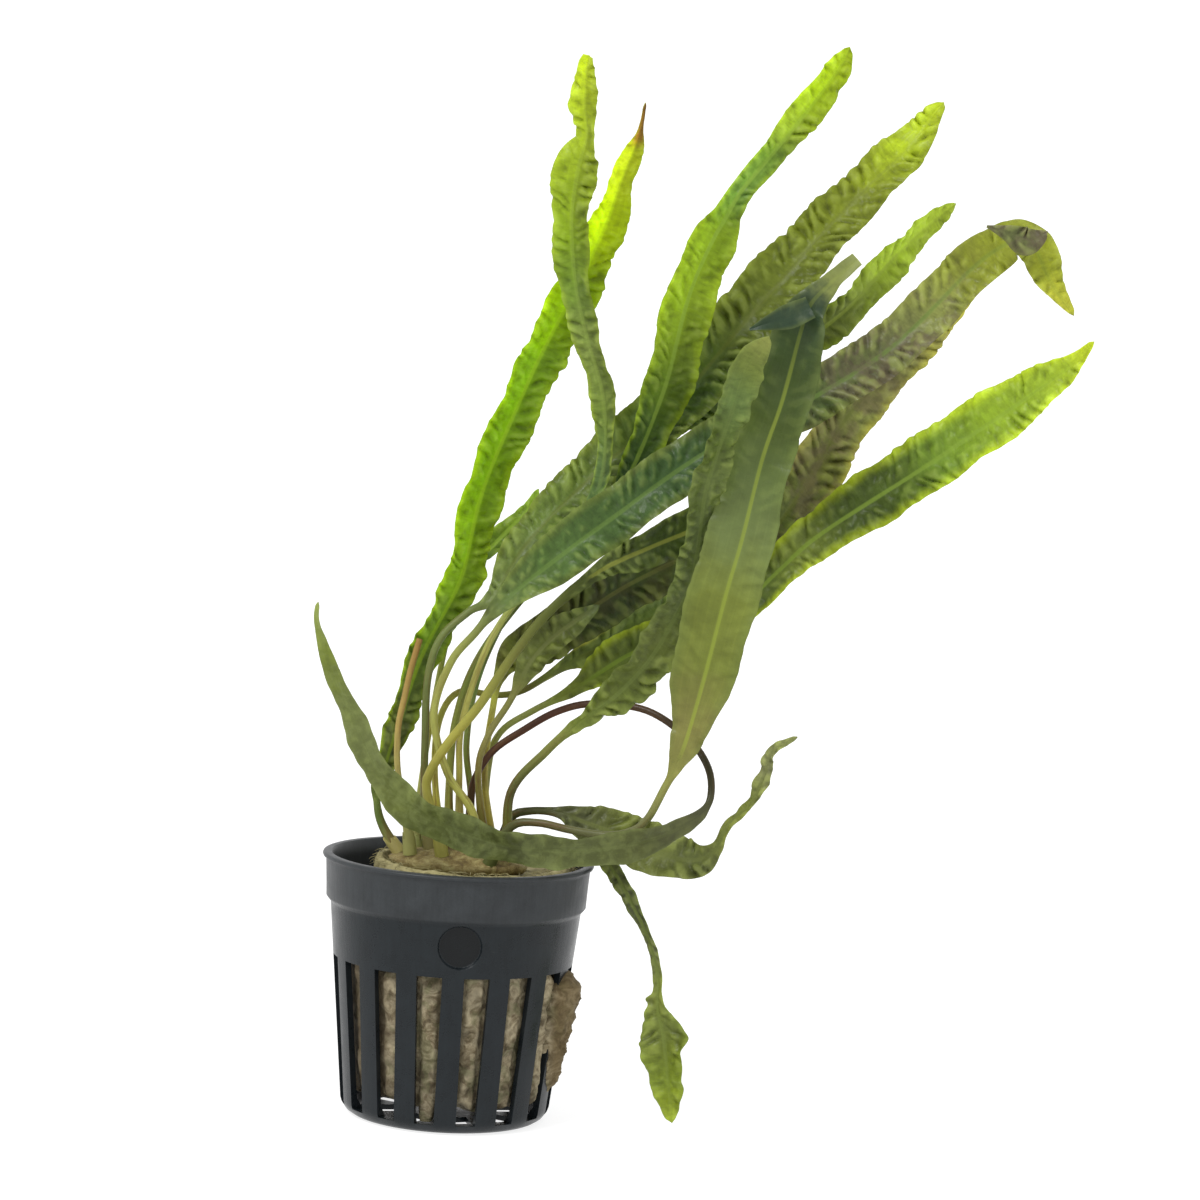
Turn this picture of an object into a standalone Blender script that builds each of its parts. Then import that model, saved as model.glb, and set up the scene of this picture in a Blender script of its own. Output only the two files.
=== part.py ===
"""Potted cryptocoryne: a water plant whose leaves grow from a crown in rock wool, in a slotted net pot.

The origin is the centre of the pot's underside, +Z is up and +X is the side that the plant leans to.
Every size below is in millimetres; the objects are made in metres.
"""

import math
from dataclasses import dataclass

import bmesh
import bpy
from mathutils import Matrix, Vector

MM = 0.001
TOUCH_GAP = 0.3  # air between pieces that touch
SHARP_ANGLE = math.radians(35)  # edges steeper than this stay sharp

# Net pot
POT_HEIGHT = 50.0
LIP_RADIUS = 26.0
LIP_THICKNESS = 0.9
LIP_CHAMFER = 0.4  # how far the lip's underside slopes into the collar
COLLAR_TOP_RADIUS = 25.3
COLLAR_FOOT_RADIUS = 24.9
COLLAR_HEIGHT = 8.7
STEP_DROP = 0.9
BODY_TOP_RADIUS = 24.0
BODY_FOOT_RADIUS = 20.2
FOOT_CORNER_RADIUS = 3.4
FOOT_CORNER_STEPS = 3
INNER_CORNER_RISE = 0.6  # inside, the wall starts this far over the foot's corner
WALL_THICKNESS = 1.3
BASE_THICKNESS = 1.8
POT_STEPS = 64
SLOT_COUNT = 16
SLOT_TURN = 14.0  # degrees from the front to the first slot's middle
SLOT_TOP = 30.5
SLOT_FOOT = 2.0
SLOT_TOP_WIDTH = 4.9
SLOT_FOOT_WIDTH = 3.7
SLOT_INNER_RADIUS = 15.9
BASE_SLOT_COUNT = 8
BASE_SLOT_WIDTH = 3.2
BASE_SLOT_INNER = 7.2
BASE_SLOT_OUTER = 14.6
CUT_MARGIN = 1.0  # how far a cutter runs past the base plate's faces
RECESS_RADIUS = 4.1
RECESS_DEPTH = 0.7
RECESS_WALL_RADIUS = 23.6  # the wall's outer radius at the recess
RECESS_CUTTER_LENGTH = 4.0
RECESS_HEIGHT = 36.4
RECESS_TURN = 5.0  # degrees to the right of the front

# Rock wool plug: (height, radius, sideways shift of its middle, how far its left flank swells)
WOOL_RINGS = ((4.2, 11.5, 3.2, 2.4), (7.0, 14.6, 3.0, 6.0), (18.0, 16.2, 3.0, 5.6), (30.0, 17.8, 2.9, 5.1),
              (32.6, 18.0, 2.9, 0.0), (41.0, 18.9, 2.9, 0.0), (48.2, 19.2, 3.1, 0.0),
              (49.6, 17.4, 2.8, 0.0), (47.2, 15.2, 1.2, 0.0), (47.2, 6.0, 0.0, 0.0))
WOOL_DEPTH_STRETCH = 1.13  # the plug is this much longer from front to back than from side to side
FLANK_TURN = 263.0  # degrees from the front: the middle of the swollen flank
FLANK_SPREAD = 38.0  # degrees to either side over which the swelling fades
WOOL_SIDES = 28
WOOL_UNEVENNESS = 0.375
WOOL_SWING_LIMIT = 1.4  # the plug is at its full radius where the swing reaches this
BULGE_TURN = 81.5  # degrees from the front: the slot that wool swells out of
BULGE_INNER = 12.0
BULGE_TOP_REACH = 24.8
BULGE_FOOT_REACH = 21.6
BULGE_TOP_WIDTH = 3.2
BULGE_FOOT_WIDTH = 2.7
BULGE_FOOT = 6.0
BULGE_TOP = 29.0

# Crown
CROWN_SIDE = 13.4
CROWN_DEPTH = 9.0
CROWN_TOP = 52.4
CROWN_DROP = 2.6  # how much lower the dome is at its edge
CROWN_FOOT = 47.2 + TOUCH_GAP
CROWN_EDGE = 0.9  # height of the crown's upright edge
CROWN_FOOT_SHARE = 0.86  # its foot's size as a share of the dome's
CROWN_EDGE_SHARE = 0.98
CROWN_DOME_SHARES = (1.0, 0.8, 0.55, 0.25)
CROWN_SIDES = 20

# Sight line: the leaves' places are read off an upright board through the pot's foot, tilted square
# to the viewer. A leaf in front of the board or behind it is slid along its own sight line.
BOARD_TILT = math.radians(4.4)
VIEW_DISTANCE = 690.0
BOARD_MIDDLE = (24.0, 100.5)
FORESHORTENING = 0.985

# Leaves
STALK_SIDES = 8
STALK_STEP = 8.5
BLADE_STEP = 6.0
BLADE_HALF_THICKNESS = 0.3
KEEL = 0.22  # how far the margins stand forward of the midrib, in half widths
WAVE = 0.7
WAVE_LENGTH = 15.0
FOOT_LIFT = TOUCH_GAP + 0.4  # the foot's middle over the crown's dome
SHEATH_RADIUS = 1.25
SHEATH_LENGTH = 14.0

POT_COLOUR = (0.038, 0.050, 0.056)
WOOL_COLOUR = (0.30, 0.22, 0.115)
CROWN_COLOUR = (0.55, 0.52, 0.25)


@dataclass
class Leaf:
    """One leaf, or a bare old stalk where it has no blade.

    foot is the place on the crown, (side, depth). stalk holds (side, height) points, and blade holds
    (side, height, width) or (side, height, width, turn) points up to the tip, with the width that shows
    from the front. depths are spaced evenly from the foot to the tip, negative towards the viewer. turn
    is in degrees about the leaf's own line, and a point's turn adds to the leaf's.
    """

    name: str
    foot: tuple
    stalk: tuple
    blade: tuple
    depths: tuple
    colour: tuple
    turn: float = 0.0
    stalk_width: float = 1.8


LEAVES = (
    Leaf("leaf_tall", (0.0, -1.8),
         ((-1, 66), (-1, 77), (3.5, 93), (12, 107)),
         ((21.5, 121, 2.4), (23.3, 132, 3.2), (22, 143, 4.6), (18.6, 153, 4.8), (15.8, 163, 6),
          (14.2, 175, 6.8), (14.6, 184, 8), (15.3, 188.6, 7.4, 10), (16.1, 192.7, 3.9, 28),
          (14.9, 199.4, 4.4, 24), (15, 205.2, 3.8, 20), (15.5, 208.2, 2, 16)),
         (-1.4, 1.2, 0.2, -11.5, -24), (0.19, 0.34, 0.035), 28),
    Leaf("leaf_amber_tip", (-11.3, 0.0),
         ((-14.7, 54.6), (-16.3, 58.6)),
         ((-16.4, 63.5, 3), (-14, 73, 4.6), (-9.6, 89.4, 6), (-3.2, 104.5, 7), (0, 122, 7.7),
          (7.2, 143, 7.8), (11.4, 153.5, 8.4), (15.6, 162.6, 8.2), (20.2, 174.6, 7.4), (22.9, 184, 6.1),
          (25, 190.8, 4), (26.1, 195, 1.3), (26.9, 199.7, 0.7)),
         (3, 5, 5, -1, -9), (0.30, 0.52, 0.008), -35),
    Leaf("leaf_bright_top", (-1.9, 1.8),
         ((-2.8, 63.4), (-2.3, 77), (1.7, 90), (12.3, 106), (23, 119.5)),
         ((26.7, 124, 4), (30, 132, 6.5), (34, 145, 9.6), (37.3, 162, 9.6), (40.9, 172.6, 8.6),
          (43.9, 178.6, 5.8, 16), (46.2, 183.3, 3.4, 32), (49.8, 187.9, 4.6, 22), (57.3, 198.3, 6.6, 6),
          (62.2, 205.6, 5), (65.4, 213, 1)),
         (2, 4.6, 8.4, 12.5, 18), (0.22, 0.44, 0.012), -26),
    Leaf("leaf_olive_ruffled", (-5.6, -1.0),
         ((-7.4, 61), (-8, 73), (-8.2, 84.6), (-6.3, 92.5), (-1.3, 98)),
         ((3.4, 101.4, 3), (10, 113, 7.5), (22.8, 127.8, 9.6), (35.4, 140, 11.4), (49.8, 159.4, 12.2),
          (64.8, 179, 10), (77.8, 193.8, 8), (82.6, 201, 3.6), (84.3, 203.3, 0.8)),
         (-1, 6.5, 15, 21, 31), (0.22, 0.30, 0.028), 26),
    Leaf("leaf_slim_back", (1.5, 5.0),
         ((1.5, 61.7), (0, 73), (1.9, 87), (8.6, 103), (17.4, 117.5), (26.5, 128)),
         ((35.8, 136.7, 4), (52.2, 149, 6), (67, 161, 6.3), (77.7, 174, 6), (85, 181.5, 3),
          (87.8, 183.7, 0.8)),
         (7.5, 14, 23, 31, 42), (0.20, 0.38, 0.015), -36),
    Leaf("leaf_folded_tip", (3.6, -4.6),
         ((1.8, 59.3), (-3.4, 66.6), (-6.6, 77.8), (-4, 88), (0.3, 94)),
         ((4.1, 99, 3), (9.9, 104.7, 7), (16.5, 110.6, 9.5), (25.3, 118, 10), (42.3, 131.8, 10),
          (62, 143.6, 9.8), (77.8, 155.4, 9.8), (91, 170.4, 9.2), (97, 175.7, 8), (100.6, 177.4, 7.2),
          (103.6, 175.5, 6.8), (105.7, 171.6, 6), (108.3, 167.4, 4), (111.8, 163.2, 0.8)),
         (-5.5, -4.5, -2.5, 2, -5), (0.055, 0.12, 0.045), 16),
    Leaf("leaf_yellow_stalk", (-3.0, -5.6),
         ((-7, 62.3), (-6.4, 67), (-3.2, 72.7), (2, 80), (8.2, 90.6), (13.9, 98.6)),
         ((20.6, 105.4, 2.6), (26, 109.3, 4.4), (33.4, 113.2, 7.6), (41.8, 117.4, 8.8), (50, 123, 8),
          (58, 130, 1)),
         (-9, -9, -10, -12), (0.16, 0.20, 0.02), -18, 2.1),
    Leaf("leaf_front_ruffled", (9.4, -3.4),
         ((9.1, 63.3), (15.4, 71.8)),
         ((21, 77.6, 2.6), (24.4, 80.4, 4.6), (29, 84.6, 7.4), (34.7, 91.9, 8.2), (38.6, 100, 8),
          (41.2, 107.5, 7.2), (41.7, 117, 4.8), (42.5, 126, 4.2), (46, 138, 4.4), (49.4, 149, 6.4),
          (53.4, 155.5, 1.4)),
         (-8, -11, -15, -27, -34), (0.16, 0.25, 0.06), -24),
    Leaf("leaf_front_broad", (6.0, -6.8),
         ((9.5, 56.7), (14.5, 57.8), (21, 56.8), (27.9, 56.2), (32.7, 57.2), (35.8, 60), (38.6, 66)),
         ((40.7, 70.6, 2.8), (42.4, 76, 6), (45, 87.7, 11.2), (48.3, 104.8, 12.7), (50.6, 115, 12.5),
          (53.7, 131.6, 11.4), (56.8, 143, 11), (59.4, 156, 9.8), (61, 162, 6), (64.7, 166.6, 3.8),
          (69.6, 171.6, 2.4)),
         (-13.5, -17, -21.2, -23, -28), (0.11, 0.18, 0.04), 22),
    Leaf("leaf_looping", (1.9, 1.4),
         ((1.5, 61.7), (2.4, 66.6), (5.4, 71.5), (10.5, 75.5), (17, 79.7), (24, 81.7), (34.3, 81),
          (42.6, 76), (46.8, 70.5), (47.6, 65)),
         ((45.9, 61.6, 2), (42, 58.6, 3.6), (36, 55.8, 5.8), (26, 53.2, 6.2), (12.7, 52.7, 6.2),
          (2.2, 54.6, 6.8), (-8.6, 58.5, 6.8), (-16.2, 65.6, 5.4), (-21.4, 75, 4.4), (-27, 86, 2.8),
          (-30, 94, 1.4), (-30.2, 98.3, 0.8)),
         (3, 2, -5, -14, -20, -21, -19, -17, -24), (0.115, 0.19, 0.026), 22, 1.5),
    Leaf("leaf_brown_margin", (-3.6, 4.8),
         ((-5.8, 67), (-5.4, 77), (-2, 82.4), (5, 82.2), (10.5, 83.6)),
         ((18, 89, 2.5), (24.5, 93, 6), (38.5, 102, 9), (51, 110.5, 9.4), (61.5, 126, 9),
          (69.3, 139, 8.5), (78.2, 149.7, 8.5), (89, 162, 6.6), (94.5, 168.4, 1)),
         (10.5, 12, 14, 17, 22), (0.13, 0.15, 0.025), -20, 1.5),
    Leaf("leaf_lower_right", (4.2, 6.6),
         ((4.5, 68), (6.4, 75), (12.4, 79.6)),
         ((20.2, 84.2, 2.8), (25.5, 88.2, 6.6), (31, 92, 8.6), (39, 95.5, 8.2), (50, 101.5, 7.4),
          (58.3, 110, 7.4), (64.5, 116.4, 8.2), (74.4, 124, 10.4), (84.6, 131.5, 10.8),
          (97, 141.2, 10.4), (105.6, 148, 8), (111.8, 153.3, 4), (116, 158.4, 0.9)),
         (8, 8.5, 6, 0, -10), (0.25, 0.42, 0.02), 28),
    Leaf("leaf_dark_olive", (6.6, 4.4),
         ((3.9, 66.5), (4.7, 80)),
         ((5.8, 86.4, 3), (8.4, 90.5, 7), (13.4, 94, 9.6), (20.5, 99, 10), (27.9, 104.5, 10),
          (35.3, 109, 9.6), (43, 113.4, 7.6), (51, 119, 1)),
         (5, 4, 3.5, 3), (0.09, 0.09, 0.02), -14),
    Leaf("leaf_grey_folded", (5.0, 1.6),
         ((2.6, 66.5), (4, 74), (7.5, 80.5)),
         ((9.9, 85.7, 3), (11.6, 89.3, 5.4), (15, 93.6, 6), (19.5, 97.5, 4.4), (24, 101, 1)),
         (-0.5, -2, -3), (0.14, 0.17, 0.06), 20, 1.6),
    Leaf("leaf_small_bright", (-8.4, 3.4),
         ((-8.4, 62), (-6.6, 80.7), (-4.2, 97)),
         ((-1.2, 106.6, 2.2), (2.4, 110.7, 3.5), (6, 115, 3.7), (9.6, 119.4, 2.5), (10.9, 123, 0.8)),
         (7, 10, 14), (0.24, 0.42, 0.015), 30, 1.4),
    Leaf("leaf_curled_tail", (7.8, -1.2),
         ((9.2, 58.2), (13, 60)),
         ((18.9, 60, 2.2), (23, 58.6, 6), (28.4, 57, 8.6), (34.8, 54.6, 9.2), (41, 52.6, 8.4),
          (46, 52.4, 6.6), (49.4, 55, 2.4), (51.2, 59.6, 1.8, 10), (55.6, 64, 1.8, 20), (57.7, 69.4, 2, 20),
          (58.9, 74.2, 1.8, 20), (63.6, 77.7, 0.8, 10)),
         (-3, -5, -8, -12, -16), (0.15, 0.20, 0.03), 22),
    Leaf("leaf_hanging", (10.6, 1.2),
         ((15.6, 53.6), (22.3, 54)),
         ((27.2, 52.6, 3.2), (30.4, 48.6, 3.2), (33.7, 43.4, 2.6), (37.4, 36.6, 1.8), (39.6, 29.6, 1.6),
          (39.9, 24.8, 2.2), (40.2, 21.9, 5), (41.4, 18, 7.6), (42.4, 12.5, 7.4), (43.2, 7, 6),
          (43.6, 3.6, 3.4), (44, 0.8, 0.9)),
         (-1, -4, -6, -8, -9), (0.085, 0.12, 0.02), -32, 1.5),
    Leaf("old_stalk", (-9.2, -3.2),
         ((-11.6, 60.8), (-13, 67.2), (-13.3, 74.8), (-12.4, 81), (-11.6, 86), (-10.2, 92.3)),
         (), (-3.5, -1, 1), (0.32, 0.16, 0.04), 0, 1.3),
)


def clear_scene():
    """Removes every object, so that the script starts from nothing."""
    for thing in list(bpy.data.objects):
        bpy.data.objects.remove(thing, do_unlink=True)


def plain_material(name, colour, roughness):
    """A Principled material of one colour."""
    material = bpy.data.materials.new(name)
    material.use_nodes = True
    shader = material.node_tree.nodes["Principled BSDF"]
    shader.inputs["Base Color"].default_value = (*colour, 1.0)
    shader.inputs["Roughness"].default_value = roughness
    shader.inputs["Metallic"].default_value = 0.0
    material.diffuse_color = (*colour, 1.0)
    return material


def finish_object(mesh_tool, name, material, guide=False):
    """Turns a finished bmesh into an object in metres and links it to the scene."""
    bmesh.ops.scale(mesh_tool, vec=(MM, MM, MM), verts=mesh_tool.verts)
    mesh = bpy.data.meshes.new(name)
    mesh_tool.to_mesh(mesh)
    mesh_tool.free()
    thing = bpy.data.objects.new(name, mesh)
    bpy.context.scene.collection.objects.link(thing)
    if guide:
        thing.hide_render = True
        thing.display_type = "WIRE"
    else:
        mesh.materials.append(material)
        mesh.shade_smooth()
        mesh.set_sharp_from_angle(angle=SHARP_ANGLE)
    return thing


def turned(radius, degrees, height):
    """A point at this radius, turned from the front towards the right of the picture."""
    angle = math.radians(degrees)
    return Vector((radius * math.sin(angle), -radius * math.cos(angle), height))


def first_ring(mesh_tool, places):
    """Starts a closed tube with a capped ring of corners at these places."""
    made = bmesh.ops.create_circle(mesh_tool, cap_ends=True, segments=len(places), radius=1.0)
    ring = sorted(made["verts"], key=lambda corner: math.atan2(corner.co.y, corner.co.x) % math.tau)
    for corner, place in zip(ring, places):
        corner.co = place
    return ring


def next_ring(mesh_tool, ring, places):
    """Extrudes a ring's edges and moves each new corner to its place."""
    edges = [mesh_tool.edges.get((ring[index - 1], ring[index])) for index in range(len(ring))]
    made = bmesh.ops.extrude_edge_only(mesh_tool, edges=edges)["geom"]
    new_corners = {item for item in made if isinstance(item, bmesh.types.BMVert)}
    grown = []
    for corner in ring:
        twins = [edge.other_vert(corner) for edge in corner.link_edges]
        grown.append(next(twin for twin in twins if twin in new_corners))
    for corner, place in zip(grown, places):
        corner.co = place
    return grown


def closed_tube(rings):
    """Lofts one closed body through rings that have the same number of corners."""
    mesh_tool = bmesh.new()
    ring = first_ring(mesh_tool, rings[0])
    for places in rings[1:]:
        ring = next_ring(mesh_tool, ring, places)
    rim = [mesh_tool.edges.get((ring[index - 1], ring[index])) for index in range(len(ring))]
    bmesh.ops.edgeloop_fill(mesh_tool, edges=rim)
    bmesh.ops.recalc_face_normals(mesh_tool, faces=mesh_tool.faces)
    return mesh_tool


def pot_profile():
    """The wall's section, (radius, height), from the middle of the base plate inside, over the lip and
    down the outside to the middle of the underside."""
    collar_foot = POT_HEIGHT - COLLAR_HEIGHT
    step_foot = collar_foot - STEP_DROP
    body_drop = step_foot - FOOT_CORNER_RADIUS
    slope = (BODY_TOP_RADIUS - BODY_FOOT_RADIUS) / body_drop
    inside = [(0.0, BASE_THICKNESS),
              (BODY_FOOT_RADIUS - FOOT_CORNER_RADIUS, BASE_THICKNESS),
              (BODY_FOOT_RADIUS - WALL_THICKNESS - slope, FOOT_CORNER_RADIUS + INNER_CORNER_RISE),
              (BODY_TOP_RADIUS - WALL_THICKNESS, step_foot),
              (COLLAR_FOOT_RADIUS - WALL_THICKNESS, collar_foot),
              (COLLAR_TOP_RADIUS - WALL_THICKNESS, POT_HEIGHT)]
    outside = [(LIP_RADIUS, POT_HEIGHT),
               (LIP_RADIUS, POT_HEIGHT - LIP_THICKNESS),
               (COLLAR_TOP_RADIUS, POT_HEIGHT - LIP_THICKNESS - LIP_CHAMFER),
               (COLLAR_FOOT_RADIUS, collar_foot),
               (BODY_TOP_RADIUS, step_foot)]
    corner_middle = BODY_FOOT_RADIUS - FOOT_CORNER_RADIUS
    corner = []
    for index in range(FOOT_CORNER_STEPS + 1):
        angle = math.radians(90 * index / FOOT_CORNER_STEPS)
        corner.append((corner_middle + FOOT_CORNER_RADIUS * math.cos(angle),
                       FOOT_CORNER_RADIUS * (1 - math.sin(angle))))
    return inside + outside + corner + [(0.0, 0.0)]


def spin_profile(profile, steps):
    """Turns an open section whose ends lie on the axis into a closed body."""
    mesh_tool = bmesh.new()
    corners = [mesh_tool.verts.new((radius, 0.0, height)) for radius, height in profile]
    edges = [mesh_tool.edges.new(pair) for pair in zip(corners, corners[1:])]
    bmesh.ops.spin(mesh_tool, geom=corners + edges, cent=(0, 0, 0), axis=(0, 0, 1),
                   angle=math.tau, steps=steps, use_merge=True)
    bmesh.ops.remove_doubles(mesh_tool, verts=mesh_tool.verts, dist=0.001)
    bmesh.ops.recalc_face_normals(mesh_tool, faces=mesh_tool.faces)
    return mesh_tool


def add_wedge(mesh_tool, degrees, inner, foot_reach, top_reach, foot, top, foot_width, top_width):
    """Adds a straight-sided block that points outwards from the axis; its top may reach and spread more."""
    made = bmesh.ops.create_cube(mesh_tool, size=1.0)
    turn = Matrix.Rotation(math.radians(degrees), 4, "Z")
    for corner in made["verts"]:
        upper = corner.co.z > 0
        width = top_width if upper else foot_width
        outer = top_reach if upper else foot_reach
        reach = outer if corner.co.y < 0 else inner
        corner.co = turn @ Vector((corner.co.x * width, -reach, top if upper else foot))


def add_cut(thing, cutter, operation="DIFFERENCE"):
    """Cuts a body with another, or joins the other to it."""
    cut = thing.modifiers.new(operation.title(), "BOOLEAN")
    cut.operation = operation
    cut.solver = "EXACT"
    cut.object = cutter


def make_pot():
    """The net pot: a turned wall, less its slots, its base openings and the shallow round recess."""
    pot = finish_object(spin_profile(pot_profile(), POT_STEPS), "net_pot",
                        plain_material("pot_plastic", POT_COLOUR, 0.28))
    slots = bmesh.new()
    for index in range(SLOT_COUNT):
        degrees = SLOT_TURN + index * 360 / SLOT_COUNT
        add_wedge(slots, degrees, SLOT_INNER_RADIUS, LIP_RADIUS, LIP_RADIUS, SLOT_FOOT, SLOT_TOP,
                  SLOT_FOOT_WIDTH, SLOT_TOP_WIDTH)
    for index in range(BASE_SLOT_COUNT):
        degrees = SLOT_TURN + index * 360 / BASE_SLOT_COUNT
        add_wedge(slots, degrees, BASE_SLOT_INNER, BASE_SLOT_OUTER, BASE_SLOT_OUTER, -CUT_MARGIN,
                  BASE_THICKNESS + CUT_MARGIN, BASE_SLOT_WIDTH, BASE_SLOT_WIDTH)
    add_cut(pot, finish_object(slots, "slot_cutter", None, guide=True))
    recess = bmesh.new()
    bmesh.ops.create_cone(recess, cap_ends=True, segments=20, radius1=RECESS_RADIUS, radius2=RECESS_RADIUS,
                          depth=RECESS_CUTTER_LENGTH, matrix=Matrix.Rotation(math.pi / 2, 4, "X"))
    reach = RECESS_WALL_RADIUS - RECESS_DEPTH + RECESS_CUTTER_LENGTH / 2
    bmesh.ops.translate(recess, verts=recess.verts, vec=(0, -reach, RECESS_HEIGHT))
    bmesh.ops.rotate(recess, verts=recess.verts, cent=(0, 0, 0),
                     matrix=Matrix.Rotation(math.radians(RECESS_TURN), 3, "Z"))
    add_cut(pot, finish_object(recess, "recess_cutter", None, guide=True))


def wool_radius(radius, index, level, swell):
    """An uneven radius, so that the plug isn't a clean turning, swollen on the left flank."""
    swing = math.sin(index * 2.1 + level * 1.3) + 0.6 * math.sin(index * 3.7 + level * 2.9)
    away = abs(index * 360 / WOOL_SIDES - FLANK_TURN) / FLANK_SPREAD
    fade = 0.5 + 0.5 * math.cos(math.pi * min(1.0, away))
    return radius + WOOL_UNEVENNESS * (swing - WOOL_SWING_LIMIT) + swell * fade


def make_wool():
    """The rock wool plug, dished under the crown, with the lump that swells out of one slot."""
    rings = []
    for level, (height, radius, shift, swell) in enumerate(WOOL_RINGS):
        ring = []
        for index in range(WOOL_SIDES):
            place = turned(wool_radius(radius, index, level, swell), index * 360 / WOOL_SIDES, height)
            ring.append(Vector((place.x + shift, place.y * WOOL_DEPTH_STRETCH, height)))
        rings.append(ring)
    wool = finish_object(closed_tube(rings), "rock_wool", plain_material("rock_wool", WOOL_COLOUR, 0.9))
    bulge = bmesh.new()
    add_wedge(bulge, BULGE_TURN, BULGE_INNER, BULGE_FOOT_REACH, BULGE_TOP_REACH, BULGE_FOOT, BULGE_TOP,
              BULGE_FOOT_WIDTH, BULGE_TOP_WIDTH)
    add_cut(wool, finish_object(bulge, "bulge_shape", None, guide=True), "UNION")


def crown_height(side, depth):
    """The height of the crown's dome at a place."""
    return CROWN_TOP - CROWN_DROP * ((side / CROWN_SIDE) ** 2 + (depth / CROWN_DEPTH) ** 2)


def make_crown():
    """The crown: a low oval dome that sits in the plug's dished top."""
    levels = [(CROWN_FOOT_SHARE, CROWN_FOOT), (CROWN_EDGE_SHARE, CROWN_FOOT + CROWN_EDGE)]
    levels += [(share, None) for share in CROWN_DOME_SHARES]
    rings = []
    for share, height in levels:
        ring = []
        for index in range(CROWN_SIDES):
            angle = index * math.tau / CROWN_SIDES
            side = share * CROWN_SIDE * math.cos(angle)
            depth = share * CROWN_DEPTH * math.sin(angle)
            ring.append(Vector((side, depth, crown_height(side, depth) if height is None else height)))
        rings.append(ring)
    finish_object(closed_tube(rings), "crown", plain_material("crown", CROWN_COLOUR, 0.6))


def sight_place(side, height, depth):
    """The point at this depth that the viewer sees at this side and height of the board."""
    up = height * FORESHORTENING
    board = Vector((side, up * math.sin(BOARD_TILT), up * math.cos(BOARD_TILT)))
    middle = Vector((BOARD_MIDDLE[0], BOARD_MIDDLE[1] * math.sin(BOARD_TILT),
                     BOARD_MIDDLE[1] * math.cos(BOARD_TILT)))
    eye = middle + VIEW_DISTANCE * Vector((0, -math.cos(BOARD_TILT), math.sin(BOARD_TILT)))
    return eye + (board - eye) * (depth - eye.y) / (board.y - eye.y)


def smooth_value(keys, place):
    """Catmull-Rom value at a place from 0 to len(keys) - 1; keys are numbers or vectors."""
    last = len(keys) - 1
    index = min(int(place), last - 1)
    share = place - index
    before = keys[index - 1] if index > 0 else keys[0] * 2 - keys[1]
    after = keys[index + 2] if index + 2 <= last else keys[last] * 2 - keys[last - 1]
    start, end = keys[index], keys[index + 1]
    return 0.5 * (start * 2 + (end - before) * share
                  + (before * 2 - start * 5 + end * 4 - after) * share ** 2
                  + (start * 3 - before - end * 3 + after) * share ** 3)


def straight_value(keys, place):
    """The value on straight lines between the keys."""
    index = min(int(place), len(keys) - 2)
    return keys[index] + (keys[index + 1] - keys[index]) * (place - index)


def leaf_points(leaf):
    """The leaf's own line as board points with widths and turns, and where its blade starts."""
    foot_height = crown_height(*leaf.foot) + FOOT_LIFT
    points = [(leaf.foot[0], foot_height)] + [tuple(point) for point in leaf.stalk]
    points += [tuple(point[:2]) for point in leaf.blade]
    turns = [leaf.turn] * (1 + len(leaf.stalk))
    turns += [leaf.turn + (point[3] if len(point) > 3 else 0.0) for point in leaf.blade]
    widths = [leaf.stalk_width] * (1 + len(leaf.stalk))
    for point, turn in zip(leaf.blade, turns[len(widths):]):
        widths.append(point[2] / math.cos(math.radians(turn)))
    return [Vector(point) for point in points], widths, turns, 1 + len(leaf.stalk)


def leaf_stations(leaf):
    """Stations along the leaf, each with its place, width, turn and share of blade."""
    points, widths, turns, blade_start = leaf_points(leaf)
    spans = [(after - before).length for before, after in zip(points, points[1:])]
    total = sum(spans)
    depths = (leaf.foot[1],) + tuple(leaf.depths)
    stations = []
    walked = 0.0
    for index, span in enumerate(spans):
        step = BLADE_STEP if index + 1 >= blade_start else STALK_STEP
        count = max(1, round(span / step))
        for part in range(count):
            place = index + part / count
            stations.append((place, (walked + span * part / count) / total))
        walked += span
    stations.append((float(len(spans)), 1.0))
    rows = []
    for place, share in stations:
        spot = smooth_value(points, place)
        depth = smooth_value(depths, share * (len(depths) - 1))
        flat = min(1.0, max(0.0, place - blade_start + 1))
        rows.append((sight_place(spot.x, spot.y, depth), straight_value(widths, place),
                     straight_value(turns, place), flat, share * total))
    rows[0] = (Vector((leaf.foot[0], leaf.foot[1], crown_height(*leaf.foot) + FOOT_LIFT)),) + rows[0][1:]
    return rows


def ring_places(spot, along, width, turn, flat, walked, sheath):
    """The corners of one cross-section: round in the stalk, a thin keeled lens in the blade."""
    across = along.cross(Vector((0, -1, 0))).normalized()
    out = across.cross(along).normalized()
    turn_angle = math.radians(turn)
    across, out = (across * math.cos(turn_angle) + out * math.sin(turn_angle),
                   out * math.cos(turn_angle) - across * math.sin(turn_angle))
    half = max(width / 2, sheath)
    thick = min(half, half + (BLADE_HALF_THICKNESS - half) * flat)
    places = []
    for index in range(STALK_SIDES):
        angle = index * math.tau / STALK_SIDES
        side = math.cos(angle)
        wave = math.sin(math.tau * walked / WAVE_LENGTH + (1.9 if side > 0 else 0.0))
        lift = flat * abs(side) * (KEEL * half + WAVE * wave * min(1.0, half / 3))
        places.append(spot + across * half * side + out * (thick * math.sin(angle) + lift))
    return places


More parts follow.
